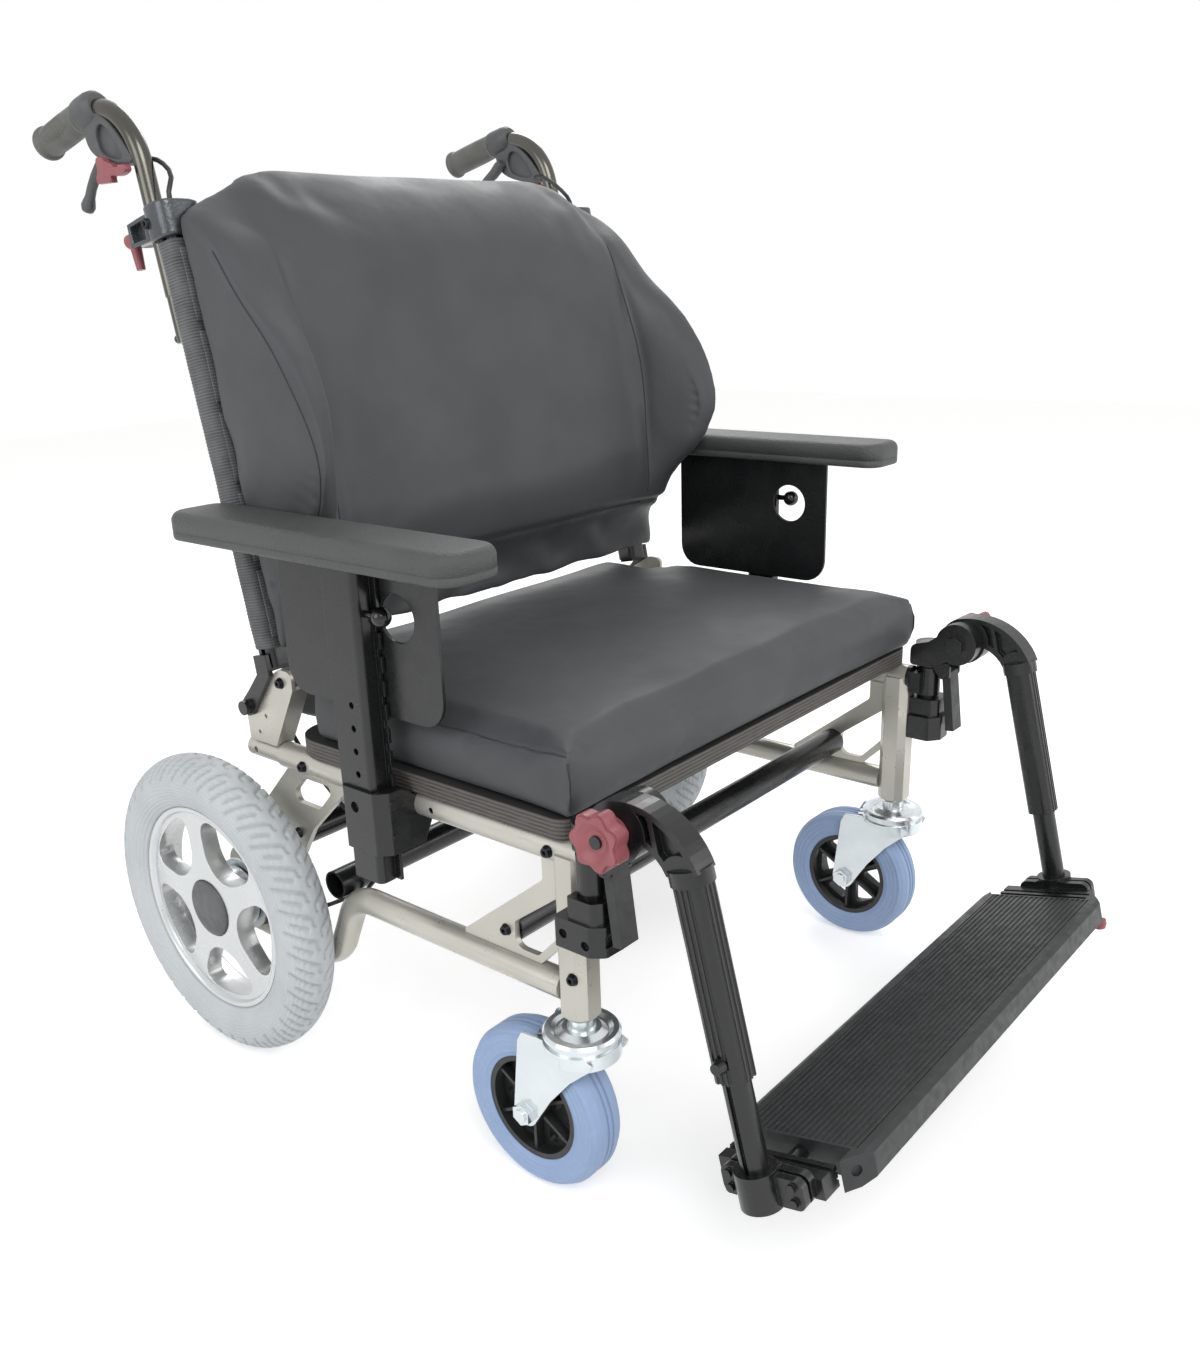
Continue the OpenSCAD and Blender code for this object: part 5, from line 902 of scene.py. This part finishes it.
print("corners in an oval", len(oval(1, 1)))

# %% [markdown]
# ## Push handles
# The handle is one bent steel tube, a little thinner below its step, with a thin rod and a small
# knob that stop it at its height. The photograph shows it slimmer than the solid.

# %% Bent handle tubes
TUBE_R, THIN_R, ROD_R, KNOB_R = 0.0085, 0.0076, 0.0014, 0.004
LOW_Z, STEP_Z, BEND_Z, BEND_R = 0.336, 0.3775, 0.4865, 0.065
HANDLE_Y = HANDLE_BEHIND - POST_FWD
DROOP = math.radians(13.7)      # the grips slope down behind
BEND_TURN = math.pi / 2 + DROOP - LEAN
along_y, along_z = math.sin(BEND_TURN), math.cos(BEND_TURN)


def on_bend(turn, further=0.0):
    """A place (y, z) on the handle's bend in the back's frame, and further along its end."""
    return (HANDLE_Y + BEND_R * (1 - math.cos(turn)) + further * along_y,
            BEND_Z + BEND_R * math.sin(turn) + further * along_z)


for s, side in SIDES:
    x = s * HANDLE_X
    thin = [(HANDLE_Y, z, THIN_R) for z in (LOW_Z, STEP_Z)]
    thick = [(HANDLE_Y, z, TUBE_R) for z in (STEP_Z - 0.001, BEND_Z)]
    thick += [(*on_bend(BEND_TURN * i / 24), TUBE_R) for i in range(1, 25)]
    thick += [(*on_bend(BEND_TURN, 0.03), TUBE_R)]
    stop = [(HANDLE_Y + THIN_R + 0.001, z, ROD_R) for z in (LOW_Z + 0.004, STEP_Z)]
    tube = piped("handle_tube_" + side, [[(on_back(x, y, z), r) for y, z, r in run]
                                         for run in (thin, thick, stop)], "handle_" + side, "handle_paint")
    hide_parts("push_handle_" + side)
    knob = [(KNOB_R * math.sin(math.pi * i / 8), -KNOB_R * math.cos(math.pi * i / 8)) for i in range(9)]
    piped("handle_stop_" + side, [[(on_back(x + d, HANDLE_Y + THIN_R + 0.003, LOW_Z + 0.005), max(r, 1e-4))
                                   for r, d in knob]], "handle_" + side, "black_paint")
print("end of the bend", [round(c, 4) for c in on_bend(BEND_TURN)])

# %% [markdown]
# ## Brakes at the handles
# A moulded housing hangs under the bend: a thick rim round a thinner web, and a collar round the
# tube. The lever bends down and back to a ball end, and a red latch holds it for parking. The
# cable leaves the housing at the front, bows over, and runs down into the back tube.

# %% Housing, lever, latch and cable
HOUSING = [(559, 908), (557, 884), (549, 866), (517, 855), (487, 853), (481, 858), (491, 868), (503, 882),
           (518, 894), (538, 903)]
POCKET = [(530, 891), (538, 882), (534, 867), (517, 861), (495, 858), (506, 874), (518, 886)]
LATCH = [(528, 862), (516, 862), (514, 858), (501, 855), (499, 851), (484, 854), (480, 852), (480, 847),
         (493, 844), (506, 846), (505, 840), (506, 840), (528, 840), (529, 840), (530, 846), (525, 850)]
LEVER = [(541, 878, 5), (546, 874, 6.5), (556, 866, 6), (568, 859, 5.2), (580, 850, 4.8), (589, 841, 4.6),
         (594.5, 833.5, 4.8), (597.5, 829.5, 6), (600, 826, 6.8), (602.5, 822.5, 5.6), (604, 820.5, 0.1)]
CABLE = [(268, 500, 858), (262, 493, 859), (256.5, 484, 859), (255.5, 474, 857), (255.5, 465, 853),
         (256.5, 456.5, 847.5), (259.5, 450, 841), (264, 446.4, 835), (267.2, 444.8, 829), (268, 443.6, 822),
         (268, 442, 812), (268, 439.8, 800), (268, 420.4, 700)]
CABLE_R, LEVER_OUT, LATCH_OUT = 0.0022, -0.012, 0.0135
# how far past the end of the bend, and the radius there
COLLAR = ((-0.021, 0.0105), (-0.0175, 0.0135), (-0.012, 0.0148), (0.005, 0.0152), (0.0075, 0.0148),
          (0.008, 0.0138))
for s, side in SIDES:
    body = "handle_" + side
    rim = outlined("housing_rim_" + side, [HOUSING, POCKET], [side_view(s, 0)], body, "grey_plastic",
                   thick=15, edge=2)
    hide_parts("brake_housing_" + side)
    outlined("housing_web_" + side, [HOUSING], [side_view(s, 0)], body, "grey_plastic", thick=6, edge=1)
    collar = [(on_back(s * HANDLE_X, *on_bend(BEND_TURN, d)), r) for d, r in COLLAR]
    piped("housing_collar_" + side, [collar], body, "grey_plastic")
    route = [(Vector((s * x / 1000, FRONT_Y + y / 1000, z / 1000)), CABLE_R) for x, y, z in CABLE]
    piped("brake_cable_" + side, [route], body, "black_plastic")
    lever = [(side_view(s, LEVER_OUT)(Vector((y, z, 0)) / 1000), r / 1000) for y, z, r in LEVER]
    lever = piped("finger_lever_" + side, [lever], "brake_lever_" + side, "grey_plastic")
    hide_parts("brake_lever_" + side)
    latch = outlined("red_latch_" + side, [LATCH], [side_view(s, LATCH_OUT)], "parking_latch_" + side,
                     "red_plastic", thick=7, edge=1)
    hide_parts("parking_latch_" + side)
print("housing faces", len(rim.data.polygons), "latch faces", len(latch.data.polygons))

# %% [markdown]
# ## Clamps
# Each cast clamp is a collar on the top of a back tube. Two ribs run from it round a barrel that
# grips the handle tube, with a window behind the barrel where the red lever's screw passes.

# %% Cast clamps
CLAMP_Z = 0.435


def clamp_plan(s):
    """Brings (x, y) of the plan of a clamp to the side s of the back."""
    return lambda p: on_back(s * (POST_X + p.x), p.y - POST_FWD, CLAMP_Z + p.z)


def clamp_side(s):
    """Brings (y, z) of the side view of a clamp to the side s of the back."""
    return lambda p: on_back(s * (POST_X + p.z), p.x - POST_FWD, CLAMP_Z + p.y)


RIB = [(6, -11), (6, 11), (7, 11.5), (34, 11.5), (55, 10), (56, 10), (56, -10), (55, -10), (34, -11.5),
       (7, -11.5)]
WINDOW = [(20, -7), (20, -8), (51, -7), (52, -6), (52, 6), (51, 7), (20, 8), (20, 7)]
BARREL = ((-0.0115, 0.0105), (-0.0112, 0.0122), (-0.01, 0.013), (0.01, 0.013), (0.0112, 0.0122),
          (0.0115, 0.0105))
BOLT = ((0.016, 0.0048), (0.0228, 0.0048), (0.0235, 0.0042), (0.0236, 0.0024), (0.021, 0.0022))
plans, views = [clamp_plan(s) for s in (-1, 1)], [clamp_side(s) for s in (-1, 1)]
collar = outlined("clamp_collars", [[(x, y + 1) for x, y in oval(43, 39)]], plans, "back", "grey_cast",
                  thick=30, edge=2.5)
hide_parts("handle_clamps")
outlined("clamp_ribs", [RIB, WINDOW], views, "back", "grey_cast", thick=26, edge=1.2)
outlined("clamp_webs", [RIB], views, "back", "grey_cast", thick=11, edge=1)
piped("clamp_barrels", [[(plan(Vector((0, HANDLE_BEHIND, z))), r) for z, r in BARREL] for plan in plans],
      "back", "grey_cast")
piped("clamp_bolts", [[(plan(Vector((x, 0.011, 0))), r) for x, r in BOLT] for plan in plans],
      "back", "black_steel")
print("clamp faces", len(collar.data.polygons))

# %% [markdown]
# ## Grips
# A soft grip is moulded in one piece: a straight barrel with a rolled collar at its end, and on
# its outer side an oval field with cross flutes. It could be spun, but the oval field needs
# points of its own, so a grid is rolled up: one way round the grip, the other way along it.

# %% Soft rubber grips
GRIP_R, GRIP_LONG, GRIP_END = 0.0134, 0.073, 0.03
GRIP_START = Vector((0, FRONT_Y + 0.5634, 0.8996))
along = Vector((0, math.cos(DROOP), -math.sin(DROOP)))
over = Vector((0, math.sin(DROOP), math.cos(DROOP)))


def grip_radius(t, a):
    """Radius at t metres along and angle a from the outer side."""
    r = GRIP_R + 0.0012 * math.exp(-(t / 0.003) ** 2) + 0.0006 * math.sin(math.pi * t / GRIP_LONG)
    collar = math.exp(-((t - GRIP_LONG + 0.0025) / 0.0032) ** 4)
    r += 0.0021 * collar - 0.0004 * math.exp(-((t - GRIP_LONG + 0.008) / 0.0015) ** 2)
    wide = ((t - 0.034) / 0.024) ** 2 + (a * GRIP_R / 0.0095) ** 2
    r -= 0.001 * math.exp(-((wide - 1) / 0.12) ** 2)
    flute = math.sin(math.tau * (t + 0.1 * a * GRIP_R) / 0.0046)
    return r + 0.0008 * flute * ramp(0.82, 0.6, wide)


grip_rubber = hard("soft_grip_rubber", "#5b5c57", "#62635e", "#7b7c77", 0.55, 0.0, 0.0006, 0.00005, spot=0.05)
for s, side in SIDES:
    bm = bmesh.new()
    for v in bmesh.ops.create_grid(bm, x_segments=96, y_segments=210, size=0.5)["verts"]:
        a, t = math.tau * v.co.x, GRIP_LONG * ((1 + 2 * GRIP_END) * (v.co.y + 0.5) - GRIP_END)
        r = grip_radius(t, a)
        # the ends close inward
        inside = max(0.0, -t, t - GRIP_LONG) / (GRIP_LONG * GRIP_END)
        r *= math.sqrt(max(0.0, 1 - inside ** 2)) if t > 0 else 1 - 0.3 * inside
        t = min(max(t, 0.0), GRIP_LONG) + (0.0015 * ramp(0, 1, inside) if t > GRIP_LONG else 0)
        v.co = (GRIP_START + along * t + over * r * math.sin(a)
                + Vector((s * (HANDLE_X + r * math.cos(a)), 0, 0)))
    joined(bm)
    grip = from_bmesh("rubber_grip_" + side, bm, "handle_" + side, "grey_plastic", grip_rubber)
print("grip faces", len(grip.data.polygons))

# %% [markdown]
# ## Arm pads
# The pads are foam that grows its own skin in the mould, with a leathery grain and no seam but
# the mould line. A box gets round corners, a soft upper edge and a tight lower one by three
# bevels. Three cuts low on the side make room for the line, and its middle one is drawn in.

# %% Skinned foam
skin, tree, shader, where = blank("skinned_polyurethane_foam")
pores = add(tree, "TexVoronoi", "Distance", {"Vector": where, "Scale": 1 / 0.002})
cloud = noisy(tree, where, 0.05, 4.0)
grain = calc(tree, "ADD", pores, noisy(tree, where, 0.0006, 3.0))
fill(tree, shader, {
    "Base Color": clouded(tree, cloud, "#3f4140", "#474948"),
    "Roughness": spread(tree, cloud, 0.0, 1.0, 0.34, 0.6),
    "Normal": bumped(tree, grain, 0.0004)})
print(skin.name)

# %% Arm pads
PLAN_R, TOP_R, FOOT_R = 0.019, 0.0085, 0.003
LINE_Z, LINE_HALF, LINE_DEEP = -0.0048, 0.0004, 0.0012


def rounded(bm, edges, offset, segments):
    """Rounds some edges of the pad."""
    bmesh.ops.bevel(bm, geom=edges, offset=offset, segments=segments, profile=0.5,
                    affect="EDGES", material=-1)


for name in ("arm_pad_left", "arm_pad_right"):
    lo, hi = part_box(name)
    middle, size = (lo + hi) / 2, hi - lo
    bm = bmesh.new()
    bmesh.ops.create_cube(bm, size=1.0)
    bmesh.ops.scale(bm, vec=size, verts=bm.verts)
    rounded(bm, [e for e in bm.edges if abs(e.verts[0].co.z - e.verts[1].co.z) > 0.01], PLAN_R, 8)
    rounded(bm, [e for e in bm.edges if min(v.co.z for v in e.verts) > size.z / 2 - 1e-5], TOP_R, 6)
    rounded(bm, [e for e in bm.edges if max(v.co.z for v in e.verts) < 1e-5 - size.z / 2], FOOT_R, 3)
    for z in (LINE_Z - LINE_HALF, LINE_Z, LINE_Z + LINE_HALF):
        bmesh.ops.bisect_plane(bm, geom=bm.verts[:] + bm.edges[:] + bm.faces[:], plane_co=(0, 0, z),
                               plane_no=(0, 0, 1))
    line = [v for v in bm.verts if abs(v.co.z - LINE_Z) < LINE_HALF / 4]
    bmesh.ops.scale(bm, vec=(1 - LINE_DEEP / size.x, 1 - LINE_DEEP / size.y, 1), verts=line)
    bmesh.ops.translate(bm, vec=middle, verts=bm.verts)
    pad = from_bmesh(name + "_foam", bm, nodes[name]["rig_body"], "black_plastic", skin)
    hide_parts(name)
print("pad size", [round(c, 3) for c in size])

# %% [markdown]
# ## Light, floor and background
# Large soft lamps stand round the chair as in a product studio. The background could be a lit
# paper, but then the paper's light would wash the chair out. So the world is white only to the
# camera and in reflections, and dimmer as a light.

# %% Lamps
def lamp(name, place, size, power, colour="#ffffff"):
    """A round soft lamp that looks at the middle of the chair."""
    light = bpy.data.lights.new(name, "AREA")
    light.shape, light.size, light.energy = "DISK", size, power
    light.color = lin(colour)[:3]
    obj = placed(name, light)
    obj.location = place
    obj.rotation_mode = "QUATERNION"
    obj.rotation_quaternion = (Vector((0, 0, 0.45)) - Vector(place)).to_track_quat("-Z", "Y")


lamp("key", (-1.5, -2.4, 3.0), 2.2, 60)
lamp("fill", (-3.0, 0.6, 1.5), 2.0, 26, "#fbfcff")
lamp("rim", (2.2, 1.8, 2.6), 1.8, 34)
lamp("front", (1.6, -3.0, 1.2), 2.0, 20)

# %% World
def seen(tree):
    """1 for rays from the camera, off a mirror or through clear matter, and 0 for the rest."""
    camera_ray, glossy_ray, clear_ray = (add(tree, "LightPath", "Is %s Ray" % kind, {})
                                         for kind in ("Camera", "Glossy", "Transmission"))
    either = calc(tree, "ADD", camera_ray, glossy_ray)
    return add(tree, "Math", 0, {0: either, 1: clear_ray}, operation="ADD", use_clamp=True)


world = bpy.data.worlds.new("studio")
scene.world = world
world.use_nodes = True
tree = world.node_tree
tree.nodes.clear()
lit = add(tree, "Background", 0, {"Color": "#f3f3f1", "Strength": 0.6})
white = add(tree, "Background", 0, {"Color": (1, 1, 1, 1), "Strength": 1.0})
add(tree, "OutputWorld", None, {"Surface": add(tree, "MixShader", 0, {0: seen(tree), 1: lit, 2: white})})
print("world", world.name)

# %% Floor
bm = bmesh.new()
bmesh.ops.create_grid(bm, x_segments=2, y_segments=2, size=6)
mesh = bpy.data.meshes.new("floor")
bm.to_mesh(mesh)
bm.free()
floor = placed("floor", mesh)
paper, tree, shader, where = blank("white_paper_sweep")
fill(tree, shader, {
    "Base Color": (0.85, 0.85, 0.85, 1),
    "Roughness": 0.7,
    "Emission Color": (1, 1, 1, 1),
    "Emission Strength": calc(tree, "MULTIPLY", seen(tree), 0.45)})
floor.data.materials.append(paper)
scene.view_settings.view_transform = "Standard"
print("floor", floor.name)
